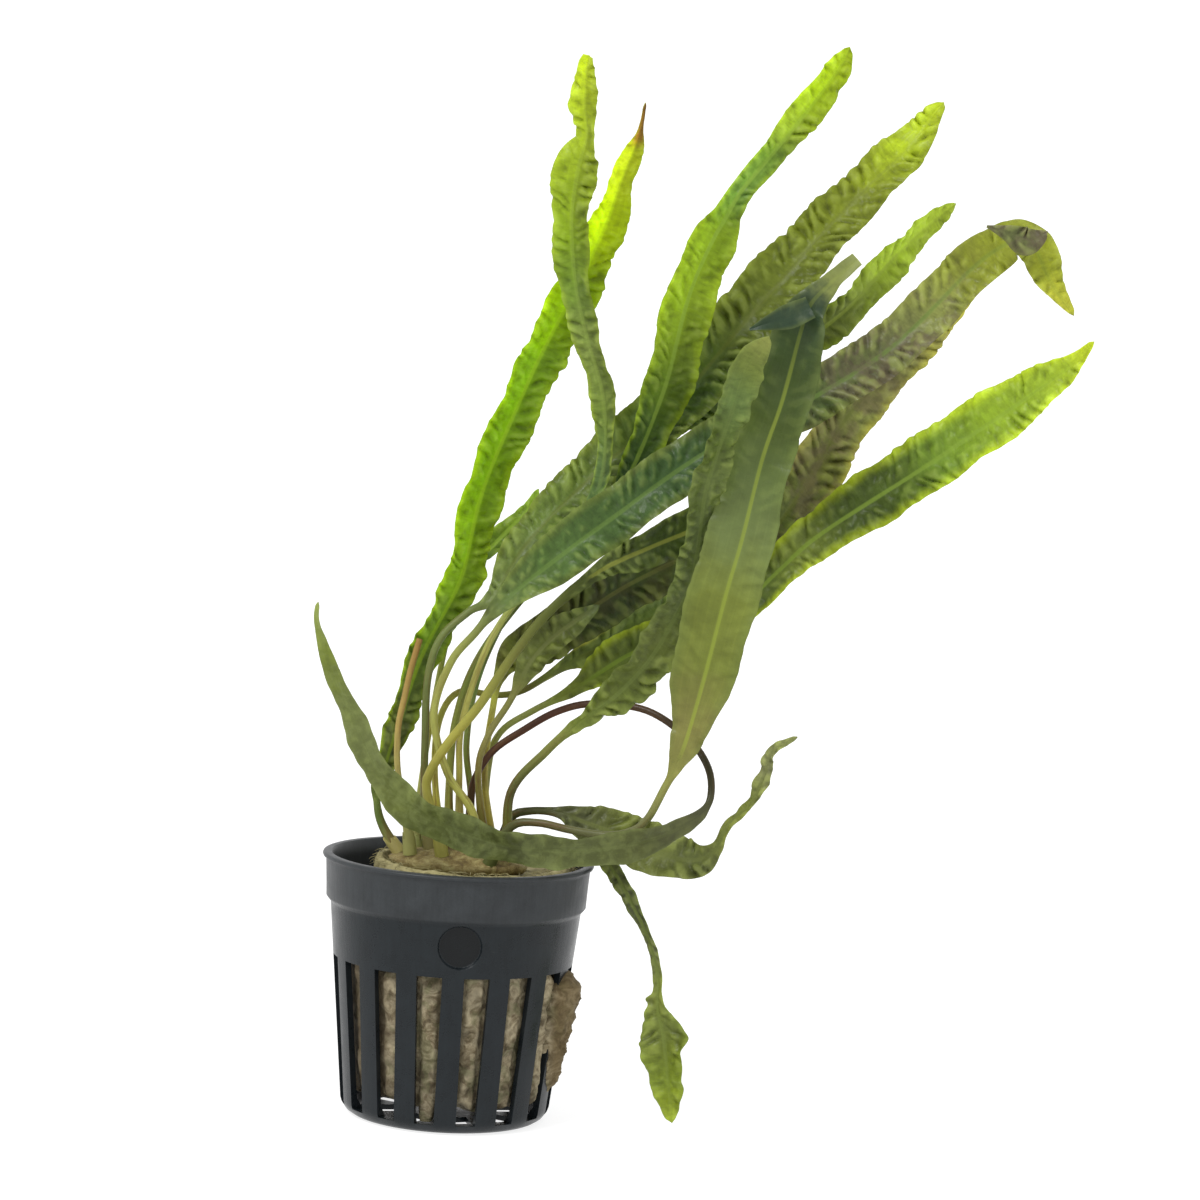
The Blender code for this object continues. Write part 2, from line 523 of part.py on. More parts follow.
def make_leaf(leaf):
    """One leaf or bare stalk, lofted from its foot to its tip."""
    rows = leaf_stations(leaf)
    rings = []
    for index, (spot, width, turn, flat, walked) in enumerate(rows):
        before = rows[max(index - 1, 0)][0]
        after = rows[min(index + 1, len(rows) - 1)][0]
        along = (after - before).normalized()
        if index == 0:
            along = (along + Vector((0, 0, 2))).normalized()
        sheath = SHEATH_RADIUS - (SHEATH_RADIUS - leaf.stalk_width / 2) * min(1.0, walked / SHEATH_LENGTH)
        rings.append(ring_places(spot, along, width, turn, flat, walked, sheath if flat == 0 else 0.0))
    finish_object(closed_tube(rings), leaf.name, plain_material(leaf.name, leaf.colour, 0.4))


def main():
    """Builds the pot, the plug, the crown and the leaves."""
    clear_scene()
    make_pot()
    make_wool()
    make_crown()
    for leaf in LEAVES:
        make_leaf(leaf)


main()
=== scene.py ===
"""Looks of the potted cryptocoryne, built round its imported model.

Sizes are in millimetres and become metres as each mesh is finished. +Z is up, +X is the side that the
plant leans to and -Y is towards the viewer. Turns are degrees from the front towards the viewer's right.
"""

import logging
import math
import random
from dataclasses import dataclass, field, replace
from enum import Enum
from typing import Any, Optional, Sequence, Union

import bmesh
import bpy
from mathutils import Matrix, Vector, noise


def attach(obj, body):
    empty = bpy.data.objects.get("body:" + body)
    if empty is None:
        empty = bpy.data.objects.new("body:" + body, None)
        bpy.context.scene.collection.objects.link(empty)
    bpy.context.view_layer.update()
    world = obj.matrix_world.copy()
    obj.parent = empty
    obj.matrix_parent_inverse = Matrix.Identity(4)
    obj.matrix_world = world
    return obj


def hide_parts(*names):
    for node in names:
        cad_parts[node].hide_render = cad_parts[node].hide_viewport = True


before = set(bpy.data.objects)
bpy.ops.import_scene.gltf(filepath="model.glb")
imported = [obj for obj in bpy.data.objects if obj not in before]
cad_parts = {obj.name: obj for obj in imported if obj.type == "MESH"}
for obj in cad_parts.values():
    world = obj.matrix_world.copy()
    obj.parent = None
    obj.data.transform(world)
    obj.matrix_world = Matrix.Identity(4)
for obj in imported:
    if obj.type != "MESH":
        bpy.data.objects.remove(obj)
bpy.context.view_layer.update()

LOG = logging.getLogger("potted_cryptocoryne")
MM = 0.001
BODY = "root"
WHITE = (1.0, 1.0, 1.0, 1.0)

Colour = tuple[float, float, float, float]
Paint = tuple[int, int, int]
Stop = tuple[float, Colour]
Socket = bpy.types.NodeSocket
Feed = Union[float, Sequence[float], Socket]
Key = Union[float, Vector]
Mesh = bmesh.types.BMesh
Corner = bmesh.types.BMVert
Material = bpy.types.Material
Piece = bpy.types.Object
Rings = list[list[Vector]]
Layer = tuple[float, float, tuple[int, int, int]]
Span = tuple[float, float]


class Slot(Enum):
    """The record's material slots."""

    BRIGHT = "leaf_bright"
    GREEN = "leaf_green"
    OLIVE = "leaf_olive"
    DARK = "leaf_dark"
    OLD_STALK = "old_stalk"
    CROWN = "crown"
    WOOL = "rock_wool"
    POT = "pot_plastic"


def tint(red: int, green: int, blue: int) -> Colour:
    """A linear colour.

    Args:
        red: Display value from 0 to 255.
        green: Display value from 0 to 255.
        blue: Display value from 0 to 255.

    Returns:
        The colour in linear light, with an alpha of 1.
    """
    parts = []
    for value in (red, green, blue):
        share = value / 255
        parts.append(share / 12.92 if share <= 0.04045 else ((share + 0.055) / 1.055) ** 2.4)
    return parts[0], parts[1], parts[2], 1.0


def shades(*stops: tuple[float, int, int, int]) -> tuple[Stop, ...]:
    """Turns (place, red, green, blue) stops into (place, colour) stops."""
    return tuple((place, tint(red, green, blue)) for place, red, green, blue in stops)


def ease(low: float, high: float, value: float) -> float:
    """A smooth step.

    Args:
        low: Where the step starts.
        high: Where the step is complete; it may be under low, and the step then falls.
        value: The place to read.

    Returns:
        0 before low, 1 past high and a smooth change between them.
    """
    share = min(1.0, max(0.0, (value - low) / (high - low)))
    return share * share * (3 - 2 * share)


def smooth_value(keys: Sequence[Key], place: float) -> Key:
    """Reads a smooth curve through evenly spaced keys.

    Args:
        keys: Numbers or vectors.
        place: From 0 at the first key to len(keys) - 1 at the last.

    Returns:
        The Catmull-Rom value there.
    """
    last = len(keys) - 1
    index = min(int(place), last - 1)
    share = place - index
    before = keys[index - 1] if index > 0 else keys[0] * 2 - keys[1]
    after = keys[index + 2] if index + 2 <= last else keys[last] * 2 - keys[last - 1]
    start, end = keys[index], keys[index + 1]
    return 0.5 * (start * 2 + (end - before) * share
                  + (before * 2 - start * 5 + end * 4 - after) * share ** 2
                  + (start * 3 - before - end * 3 + after) * share ** 3)


def turned(radius: float, degrees: float, height: float) -> Vector:
    """A point at this radius from the pot's axis, turned from the front towards the viewer's right."""
    angle = math.radians(degrees)
    return Vector((radius * math.sin(angle), -radius * math.cos(angle), height))


def turn_of(spot: Vector) -> float:
    """The turn of a point round the pot's axis, in degrees."""
    return math.degrees(math.atan2(spot.x, -spot.y))


def off_middle(turn: float, sector: float) -> float:
    """How far a turn is from the nearest multiple of a sector, in degrees."""
    return (turn + sector / 2) % sector - sector / 2


@dataclass(frozen=True)
class Ripple:
    """Smooth noise: how many lumps there are to a millimetre, how high they are and where it is read."""

    along: float
    across: float
    height: float = 1.0
    shift: float = 0.0

    def at(self, along: float, across: float, seed: float) -> float:
        """The noise's height at a place, for a piece's own seed."""
        place = Vector((along * self.along, across * self.across, seed + self.shift))
        return self.height * noise.noise(place)


def layered(place: Vector, layers: Sequence[Layer]) -> float:
    """Adds up layers of noise, each (lumps to a millimetre, height, shift)."""
    return sum(noise.noise(place * scale + Vector(shift)) * height for scale, height, shift in layers)


@dataclass(frozen=True)
class Sight:
    """The line of sight that the leaves' places lie along, as in the solids.

    Places are given on an upright board through the pot's foot, tilted square to the viewer, and slid
    along their own sight line to their depth.
    """

    tilt: float = math.radians(4.4)
    roll: float = math.radians(3.5)
    distance: float = 690.0
    middle_side: float = 24.0
    middle_height: float = 100.5
    foreshortening: float = 0.985
    pixels_per_mm: float = 5.19
    picture_side: int = 1200
    sensor: float = 36.0

    def forward(self) -> Vector:
        """The direction that the viewer looks in."""
        return Vector((0, math.cos(self.tilt), -math.sin(self.tilt)))

    def eye(self) -> Vector:
        """Where the viewer's eye is.

        Returns:
            Its place in millimetres, square to the board's middle.
        """
        middle = Vector((self.middle_side, self.middle_height * math.sin(self.tilt),
                         self.middle_height * math.cos(self.tilt)))
        return middle - self.distance * self.forward()

    def place(self, side: float, height: float, depth: float) -> Vector:
        """Finds the point that the viewer sees at a place of the board.

        Args:
            side: Place across the board.
            height: Place up the board.
            depth: The point's own depth, negative towards the viewer.

        Returns:
            The point at that depth.
        """
        up = height * self.foreshortening
        board = Vector((side, up * math.sin(self.tilt), up * math.cos(self.tilt)))
        eye = self.eye()
        return eye + (board - eye) * (depth - eye.y) / (board.y - eye.y)

    def lens(self) -> float:
        """The focal length that gives the picture its scale at the board."""
        return self.pixels_per_mm * self.distance * self.sensor / self.picture_side

    def camera_matrix(self) -> Matrix:
        """Works out how the camera stands.

        Returns:
            Its place in metres and its turn, with the picture's roll.
        """
        right = Vector((1, 0, 0))
        up = right.cross(self.forward())
        across = right * math.cos(self.roll) + up * math.sin(self.roll)
        above = up * math.cos(self.roll) - right * math.sin(self.roll)
        turn = Matrix((across, above, -self.forward())).transposed().to_4x4()
        return Matrix.Translation(self.eye() * MM) @ turn


SIGHT = Sight()


def ring_edges(mesh_tool: Mesh, ring: list[Corner]) -> list[bmesh.types.BMEdge]:
    """The edges that join a ring's vertices."""
    return [mesh_tool.edges.get((ring[index - 1], ring[index])) for index in range(len(ring))]


def add_tube(mesh_tool: Mesh, rings: Rings) -> list[list[Corner]]:
    """Adds one closed body lofted through rings that have the same number of corners.

    Args:
        mesh_tool: The mesh being built.
        rings: The cross-sections from one end to the other.

    Returns:
        Each ring's vertices.
    """
    rows, sides = len(rings), len(rings[0])
    made = bmesh.ops.create_grid(mesh_tool, x_segments=sides, y_segments=rows - 1, size=1.0)["verts"]
    made.sort(key=lambda corner: (round((corner.co.y + 1) / 2 * (rows - 1)), corner.co.x))
    lines = [made[row * (sides + 1):(row + 1) * (sides + 1)] for row in range(rows)]
    bmesh.ops.weld_verts(mesh_tool, targetmap={line[sides]: line[0] for line in lines})
    lines = [line[:sides] for line in lines]
    for line, places in zip(lines, rings):
        for corner, place in zip(line, places):
            corner.co = place
    for end in (lines[0], lines[-1]):
        bmesh.ops.edgeloop_fill(mesh_tool, edges=ring_edges(mesh_tool, end))
    return lines


def finish_piece(mesh_tool: Mesh, name: str, material: Material, node: str,
                 sharp: Optional[float] = None) -> Piece:
    """Turns a finished bmesh into a piece in metres that stands for a solid.

    Args:
        mesh_tool: The mesh, in millimetres; it is freed.
        name: The piece's name.
        material: Its material.
        node: The solid that the piece stands for.
        sharp: The angle in degrees over which an edge stays sharp, if any does.

    Returns:
        The piece.
    """
    bmesh.ops.recalc_face_normals(mesh_tool, faces=mesh_tool.faces)
    bmesh.ops.scale(mesh_tool, vec=(MM, MM, MM), verts=mesh_tool.verts)
    mesh = bpy.data.meshes.new(name)
    mesh_tool.to_mesh(mesh)
    mesh_tool.free()
    mesh.materials.append(material)
    mesh.shade_smooth()
    if sharp is not None:
        mesh.set_sharp_from_angle(angle=math.radians(sharp))
    piece = bpy.data.objects.new(name, mesh)
    bpy.context.scene.collection.objects.link(piece)
    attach(piece, BODY)
    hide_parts(node)
    LOG.info("%s: %d corners, %d faces", name, len(mesh.vertices), len(mesh.polygons))
    return piece


class Sum(Enum):
    """The sums that a Math node does."""

    ADD = "ADD"
    LESS = "SUBTRACT"
    TIMES = "MULTIPLY"
    SIZE = "ABSOLUTE"
    SINE = "SINE"


class ShaderSheet:
    """Lays out the nodes of one material and joins them."""

    def __init__(self, name: str) -> None:
        """Starts a material with nothing but its output.

        Args:
            name: The material's name.
        """
        self.material = bpy.data.materials.new(name)
        self.material.use_nodes = True
        self.tree = self.material.node_tree
        self.tree.nodes.clear()
        self.output = self.add("ShaderNodeOutputMaterial")

    def feed(self, socket: Socket, value: Feed) -> None:
        """Links a socket to another, or sets its value.

        Args:
            socket: The socket that takes the value.
            value: Another node's socket, a number or a row of numbers.
        """
        if isinstance(value, Socket):
            self.tree.links.new(value, socket)
        else:
            socket.default_value = value

    def add(self, kind: str, inputs: Optional[dict[Union[str, int], Feed]] = None,
            **settings: Any) -> bpy.types.Node:
        """Adds a node.

        Args:
            kind: Blender's name for the node.
            inputs: What goes into its sockets, by socket name or number.
            settings: The node's own properties.

        Returns:
            The node.
        """
        node = self.tree.nodes.new(kind)
        for name, value in settings.items():
            setattr(node, name, value)
        for name, value in (inputs or {}).items():
            self.feed(node.inputs[name], value)
        return node

    def sum(self, kind: Sum, first: Feed, second: Feed = 0.0) -> Socket:
        """Does one sum on sockets or numbers."""
        return self.add("ShaderNodeMath", {0: first, 1: second}, operation=kind.value).outputs[0]

    def chain(self, kind: Sum, values: Sequence[Feed]) -> Socket:
        """Does one sum on many values, from the first to the last.

        Args:
            kind: The sum.
            values: Sockets or numbers.

        Returns:
            The result's socket.
        """
        result = values[0]
        for value in values[1:]:
            result = self.sum(kind, result, value)
        return result

    def total(self, *values: Feed) -> Socket:
        """Adds up sockets or numbers."""
        return self.chain(Sum.ADD, values)

    def product(self, *values: Feed) -> Socket:
        """Multiplies sockets or numbers."""
        return self.chain(Sum.TIMES, values)

    def around(self, value: Feed, share: float, middle: float = 0.5) -> Socket:
        """A value's distance from its middle, times a share."""
        return self.sum(Sum.TIMES, self.sum(Sum.LESS, value, middle), share)

    def step(self, value: Feed, low: float, high: float, bottom: float = 0.0, top: float = 1.0) -> Socket:
        """Maps a value smoothly.

        Args:
            value: The socket to read.
            low: Where the rise starts.
            high: Where it ends.
            bottom: The result below low.
            top: The result above high.

        Returns:
            The mapped value's socket.
        """
        given = {"Value": value, "From Min": low, "From Max": high, "To Min": bottom, "To Max": top}
        return self.add("ShaderNodeMapRange", given, interpolation_type="SMOOTHSTEP").outputs[0]

    def mix(self, share: Feed, first: Feed, second: Feed) -> Socket:
        """Mixes two colours; share is how much of the second there is."""
        return self.add("ShaderNodeMix", {0: share, 6: first, 7: second}, data_type="RGBA").outputs[2]

    def ramp(self, value: Feed, stops: Sequence[Stop]) -> Socket:
        """Turns a value into colours.

        Args:
            value: The socket to read.
            stops: The (place, colour) stops of the ramp.

        Returns:
            The colour's socket.
        """
        node = self.add("ShaderNodeValToRGB", {0: value})
        elements = node.color_ramp.elements
        for _ in range(len(stops) - 2):
            elements.new(0.5)
        for element, (place, colour) in zip(elements, stops):
            element.position = place
            element.color = colour
        return node.outputs[0]

    def split(self, vector: Feed) -> bpy.types.bpy_prop_collection:
        """The three parts of a vector."""
        return self.add("ShaderNodeSeparateXYZ", {0: vector}).outputs

    def attribute(self, name: str) -> Socket:
        """A vector that the mesh carries."""
        return self.add("ShaderNodeAttribute", attribute_name=name).outputs["Vector"]

    def stretched(self, vector: Feed, scale: Sequence[float], shift: float = 0.0) -> Socket:
        """Coordinates stretched along their axes and shifted along the first."""
        given = {"Vector": vector, "Scale": scale, "Location": (shift, 0, 0)}
        return self.add("ShaderNodeMapping", given).outputs[0]

    def millimetres(self, stretch: Sequence[float] = (1, 1, 1), shift: float = 0.0) -> Socket:
        """The piece's own coordinates in millimetres, stretched along its axes."""
        coordinates = self.add("ShaderNodeTexCoord").outputs["Object"]
        return self.stretched(coordinates, [share / MM for share in stretch], shift)

    def grain(self, place: Feed, size: float, detail: float = 3.0, rough: float = 0.55,
              warp: float = 0.0) -> Socket:
        """Soft noise from about 0 to 1.

        Args:
            place: The coordinates in millimetres.
            size: How large its lumps are.
            detail: How many finer layers it has.
            rough: How strong those are.
            warp: How far it is warped.

        Returns:
            The noise's socket.
        """
        given = {"Vector": place, "Scale": 1 / size, "Detail": detail, "Roughness": rough, "Distortion": warp}
        return self.add("ShaderNodeTexNoise", given).outputs[0]

    def shade(self, colour: Feed, value: Feed, saturation: float = 1.0, hue: float = 0.5) -> Socket:
        """Lightens or darkens a colour by a value around 1."""
        given = {"Hue": hue, "Saturation": saturation, "Value": value, "Color": colour}
        return self.add("ShaderNodeHueSaturation", given).outputs[0]

    def bump(self, height: Feed, depth: float, strength: float = 1.0) -> Socket:
        """Turns a height from 0 to 1 into a normal, depth in millimetres."""
        given = {"Strength": strength, "Distance": depth * MM, "Height": height}
        return self.add("ShaderNodeBump", given).outputs[0]

    def skin(self, colour: Feed, rough: Feed, gloss: float,
             others: Optional[dict[str, Feed]] = None) -> Socket:
        """Adds the shader of a solid surface.

        Args:
            colour: Its colour.
            rough: How rough it is.
            gloss: How strongly it reflects; 0.5 is usual.
            others: What goes into its other sockets, by name.

        Returns:
            The shader's socket.
        """
        given = {"Base Color": colour, "Roughness": rough, "Specular IOR Level": gloss}
        return self.add("ShaderNodeBsdfPrincipled", given | (others or {})).outputs[0]

    def surface(self, shader: Socket) -> Material:
        """Makes a shader the material's surface and returns the material."""
        self.feed(self.output.inputs["Surface"], shader)
        return self.material


@dataclass(frozen=True)
class LeafSockets:
    """What a leaf's finish reads from its mesh.

    spot is (distance across, distance from the foot, run), and place is in the piece's own millimetres.
    share goes from -1 to 1 across the blade, and reach is its size. push is how far the blade is
    blistered out, facing is 1 on its front and -1 on its back, and blade is 0 in the stalk.
    """

    spot: Socket
    place: Socket
    across: Socket
    run: Socket
    share: Socket
    reach: Socket
    push: Socket
    facing: Socket
    blade: Socket
    lumps: Socket
    wrinkles: Socket
    streaks: Socket


@dataclass(frozen=True)
class LeafFinish:
    """Colours and surface of one leaf, as they look in the picture's light.

    Colours are display values. run holds (place, red, green, blue) stops: 0 is the foot, 0.5 is where the
    blade starts and 1 is the tip; the stops are the leaf's own tones with painted light in them, the
    glow of thin backlit tips and the painted shade of overlapping leaves. The margin is partly its own
    colour and partly painted glow of the thin lit edge. shaded is painted shade: how much darker the
    right half of the blade is, turned from the light, or the left half where it is negative.
    """

    run: tuple[tuple[float, int, int, int], ...]
    margin: Paint
    rib: Paint
    margin_share: float = 0.4
    margin_start: float = 0.6
    rib_share: float = 0.6
    rib_width: float = 0.45
    shaded: float = 0.0
    blotch: Paint = (90, 90, 60)
    blotch_share: float = 0.0
    blotch_size: float = 5.0
    blotch_from: float = 0.0
    blotch_to: float = 1.0
    blotch_edge: float = 0.05
    blotch_rib: float = 1.5
    glow: float = 0.42
    roughness: float = 0.34
    # relief scales the painted light and shade of the blisters, creases and wrinkles, the painted highlights
    # on blister tops and the wrinkles' bumps.
    relief: float = 0.38
    blister_light_and_shade: float = 0.6
    crease_shade: float = 0.22
    wrinkle_light_and_shade: float = 2.0
    highlight_share: float = 0.42
    fold_share: float = 1.8
    fold_limit: float = 0.7
    gain: float = 1.0
    stalk_gain: float = 1.35
    stalk_brown: float = 0.7
    stalk_brown_top: float = 0.35
    through_gain: float = 1.35
    lump_light: float = 0.42
    streak_light: float = 0.4
    streak_in_blade: float = 0.35
    vein_count: float = 3.5
    vein_light: float = 0.05
    brown: Paint = (112, 80, 50)
    highlight: Paint = (200, 212, 120)
    underside: Paint = (170, 185, 110)
    underside_share: float = 0.1

    def material(self, name: str, seed: float) -> Material:
        """Builds the leaf's material.

        Args:
            name: The material's name.
            seed: Shifts the noise, so that no two leaves match.

        Returns:
            The material.
        """
        sheet = ShaderSheet(name)
        leaf = self.sockets(sheet, seed)
        colour, rib_colour = self.ground(sheet, leaf)
        colour = sheet.shade(colour, self.light(sheet, leaf))
        colour = sheet.mix(self.browning(sheet, leaf), colour, tint(*self.brown))
        # Painted highlights on the blister tops.
        painted_highlights = sheet.step(leaf.push, 0.05, 0.7, top=self.relief * self.highlight_share)
        colour = sheet.mix(painted_highlights, colour, tint(*self.highlight))
        rib = self.rib_line(sheet, leaf)
        colour = sheet.mix(rib, colour, rib_colour)
        back = sheet.step(leaf.facing, -1.0, 1.0, bottom=self.underside_share, top=0.0)
        colour = sheet.mix(back, colour, tint(*self.underside))
        fine = sheet.grain(leaf.place, size=0.45, rough=0.6)
        film = sheet.grain(leaf.place, size=2.4, rough=0.6)
        shine = sheet.total(self.roughness, sheet.around(fine, 0.16), sheet.around(film, 0.4),
                            sheet.product(rib, 0.5))
        folds = sheet.product(leaf.wrinkles, min(self.fold_limit, self.relief * self.fold_share))
        normal = sheet.bump(sheet.total(folds, sheet.product(fine, 0.3)), depth=0.3, strength=0.6)
        skin = sheet.skin(sheet.shade(colour, 1.0, saturation=1.01), shine, 0.2,
                          {"Normal": normal, "Coat Weight": 0.05, "Coat Roughness": 0.2})
        through = sheet.shade(colour, self.through_gain, saturation=1.03, hue=0.494)
        glowing = sheet.add("ShaderNodeBsdfTranslucent", {"Color": through, "Normal": normal})
        both = sheet.add("ShaderNodeMixShader", {0: self.glow, 1: skin, 2: glowing.outputs[0]})
        return sheet.surface(both.outputs[0])

    def sockets(self, sheet: ShaderSheet, seed: float) -> LeafSockets:
        """Reads the leaf's places and makes the patterns that follow them.

        Args:
            sheet: The material being built.
            seed: Shifts the noise.

        Returns:
            The sockets.
        """
        spot = sheet.attribute("leaf_place")
        across, _, run = sheet.split(spot)
        share, push, facing = sheet.split(sheet.attribute("leaf_form"))
        place = sheet.millimetres(shift=seed)
        return LeafSockets(
            spot=spot, place=place, across=across, run=run, share=share,
            reach=sheet.sum(Sum.SIZE, share), push=push, facing=facing,
            blade=sheet.step(run, 0.5, 0.53),
            lumps=sheet.grain(place, size=4.5, detail=4.0),
            wrinkles=sheet.grain(sheet.stretched(spot, (0.5, 1.1, 0.0), seed), size=0.9, detail=4.0,
                                 rough=0.6, warp=0.6),
            streaks=sheet.grain(sheet.stretched(spot, (2.6, 0.1, 0.0), seed), size=1.0))

    def ground(self, sheet: ShaderSheet, leaf: LeafSockets) -> tuple[Socket, Feed]:
        """Lays the leaf's run colours, painted light and shade included, with its margin and blotches.

        Args:
            sheet: The material being built.
            leaf: The leaf's places and patterns.

        Returns:
            The blade's colour and the midrib's.
        """
        colour = sheet.ramp(sheet.total(leaf.run, sheet.around(leaf.lumps, 0.05)), shades(*self.run))
        # A paler margin: partly its own colour, partly painted glow of the thin lit edge.
        edge = sheet.step(sheet.total(leaf.reach, sheet.around(leaf.lumps, 0.4)), self.margin_start, 1.0)
        colour = sheet.mix(sheet.product(edge, leaf.blade, self.margin_share), colour, tint(*self.margin))
        if self.blotch_share == 0:
            return colour, tint(*self.rib)
        patches = self.patches(sheet, leaf)
        blotch = tint(*self.blotch)
        rib_colour = sheet.mix(patches, tint(*self.rib), sheet.shade(blotch, self.blotch_rib))
        return sheet.mix(patches, colour, blotch), rib_colour

    def patches(self, sheet: ShaderSheet, leaf: LeafSockets) -> Socket:
        """Spreads the blotches over their part of the leaf.

        Args:
            sheet: The material being built.
            leaf: The leaf's places and patterns.

        Returns:
            How much of the blotch colour shows.
        """
        cloud = sheet.grain(leaf.place, self.blotch_size, detail=5.0, rough=0.6, warp=0.4)
        patches = sheet.step(cloud, 0.42, 0.6)
        start = sheet.step(leaf.run, self.blotch_from - self.blotch_edge, self.blotch_from + self.blotch_edge)
        end = sheet.step(leaf.run, self.blotch_to - self.blotch_edge, self.blotch_to + self.blotch_edge,
                         bottom=1.0, top=0.0)
        return sheet.product(patches, start, end, self.blotch_share)

    def light(self, sheet: ShaderSheet, leaf: LeafSockets) -> Socket:
        """Works out how light or dark each place is: painted light and shade of blisters, creases and
        wrinkles and of the shaded half, and the own tones of lumps, streaks and veins.

        Args:
            sheet: The material being built.
            leaf: The leaf's places and patterns.

        Returns:
            A value around 1.
        """
        # Painted shade in the creases between blisters.
        painted_crease_shade = sheet.step(leaf.push, -0.9, 0.0, bottom=-self.relief * self.crease_shade, top=0.0)
        streak_share = sheet.step(leaf.run, 0.46, 0.54, bottom=1.0, top=self.streak_in_blade)
        # Painted light on blister tops, painted shade in their hollows and painted light and shade along the
        # wrinkles; lumps, streaks and veins are the leaf's own tones.
        value = sheet.total(
            1.0, sheet.around(leaf.lumps, self.lump_light),
            sheet.product(leaf.push, self.relief * self.blister_light_and_shade), painted_crease_shade,
            sheet.product(sheet.around(leaf.wrinkles, self.relief * self.wrinkle_light_and_shade), leaf.blade),
            sheet.product(sheet.around(leaf.streaks, self.streak_light), streak_share),
            self.long_veins(sheet, leaf))
        gain = sheet.step(leaf.run, 0.42, 0.54, bottom=self.gain * self.stalk_gain, top=self.gain)
        value = sheet.product(value, gain)
        # Painted shade on the half of the blade turned from the light.
        if self.shaded:
            half = sheet.step(sheet.product(leaf.share, math.copysign(1.0, self.shaded)), -0.1, 0.2)
            value = sheet.product(value, sheet.total(1.0, sheet.product(half, leaf.blade, -abs(self.shaded))))
        return value

    def long_veins(self, sheet: ShaderSheet, leaf: LeafSockets) -> Socket:
        """Faint veins that run the length of the blade beside its midrib."""
        wave = sheet.sum(Sum.SINE, sheet.product(leaf.reach, math.tau * self.vein_count))
        return sheet.product(sheet.step(wave, 0.7, 1.0, top=self.vein_light), leaf.blade)

    def browning(self, sheet: ShaderSheet, leaf: LeafSockets) -> Socket:
        """Spreads the brown streaks that fade up the stalk.

        Args:
            sheet: The material being built.
            leaf: The leaf's places and patterns.

        Returns:
            How much of the brown shows.
        """
        share = sheet.step(leaf.run, 0.02, 0.46, bottom=self.stalk_brown,
                           top=self.stalk_brown * self.stalk_brown_top)
        return sheet.product(sheet.step(leaf.streaks, 0.46, 0.66), share,
                             sheet.step(leaf.run, 0.46, 0.51, bottom=1.0, top=0.0))

    def rib_line(self, sheet: ShaderSheet, leaf: LeafSockets) -> Socket:
        """Draws the midrib, which fades towards the tip.

        Args:
            sheet: The material being built.
            leaf: The leaf's places and patterns.

        Returns:
            How much of the midrib's colour shows.
        """
        line = sheet.step(sheet.sum(Sum.SIZE, leaf.across), self.rib_width * 0.55, self.rib_width * 1.25,
                          bottom=1.0, top=0.0)
        fade = sheet.step(leaf.run, 0.8, 1.0, bottom=self.rib_share, top=self.rib_share * 0.2)
        return sheet.product(line, leaf.blade, fade)


@dataclass(frozen=True)
class CrownFinish:
    """Matted yellow-brown tissue with darker scars."""

    stops: tuple[Stop, ...] = shades((0.3, 84, 68, 42), (0.46, 128, 112, 68), (0.6, 158, 146, 96),
                                     (0.78, 186, 178, 124))
    gain: float = 0.95

    def material(self) -> Material:
        """Builds the crown's material.

        Returns:
            The material.
        """
        sheet = ShaderSheet("crown_tissue")
        place = sheet.millimetres()
        lumps = sheet.grain(place, size=2.2, detail=5.0, rough=0.65, warp=0.5)
        fine = sheet.grain(place, size=0.4, detail=4.0, rough=0.7)
        colour = sheet.shade(sheet.ramp(lumps, self.stops), sheet.total(self.gain, sheet.around(fine, 0.5)))
        rough = sheet.total(0.6, sheet.around(fine, 0.4))
        normal = sheet.bump(fine, depth=0.5, strength=0.8)
        return sheet.surface(sheet.skin(colour, rough, 0.3, {"Normal": normal}))


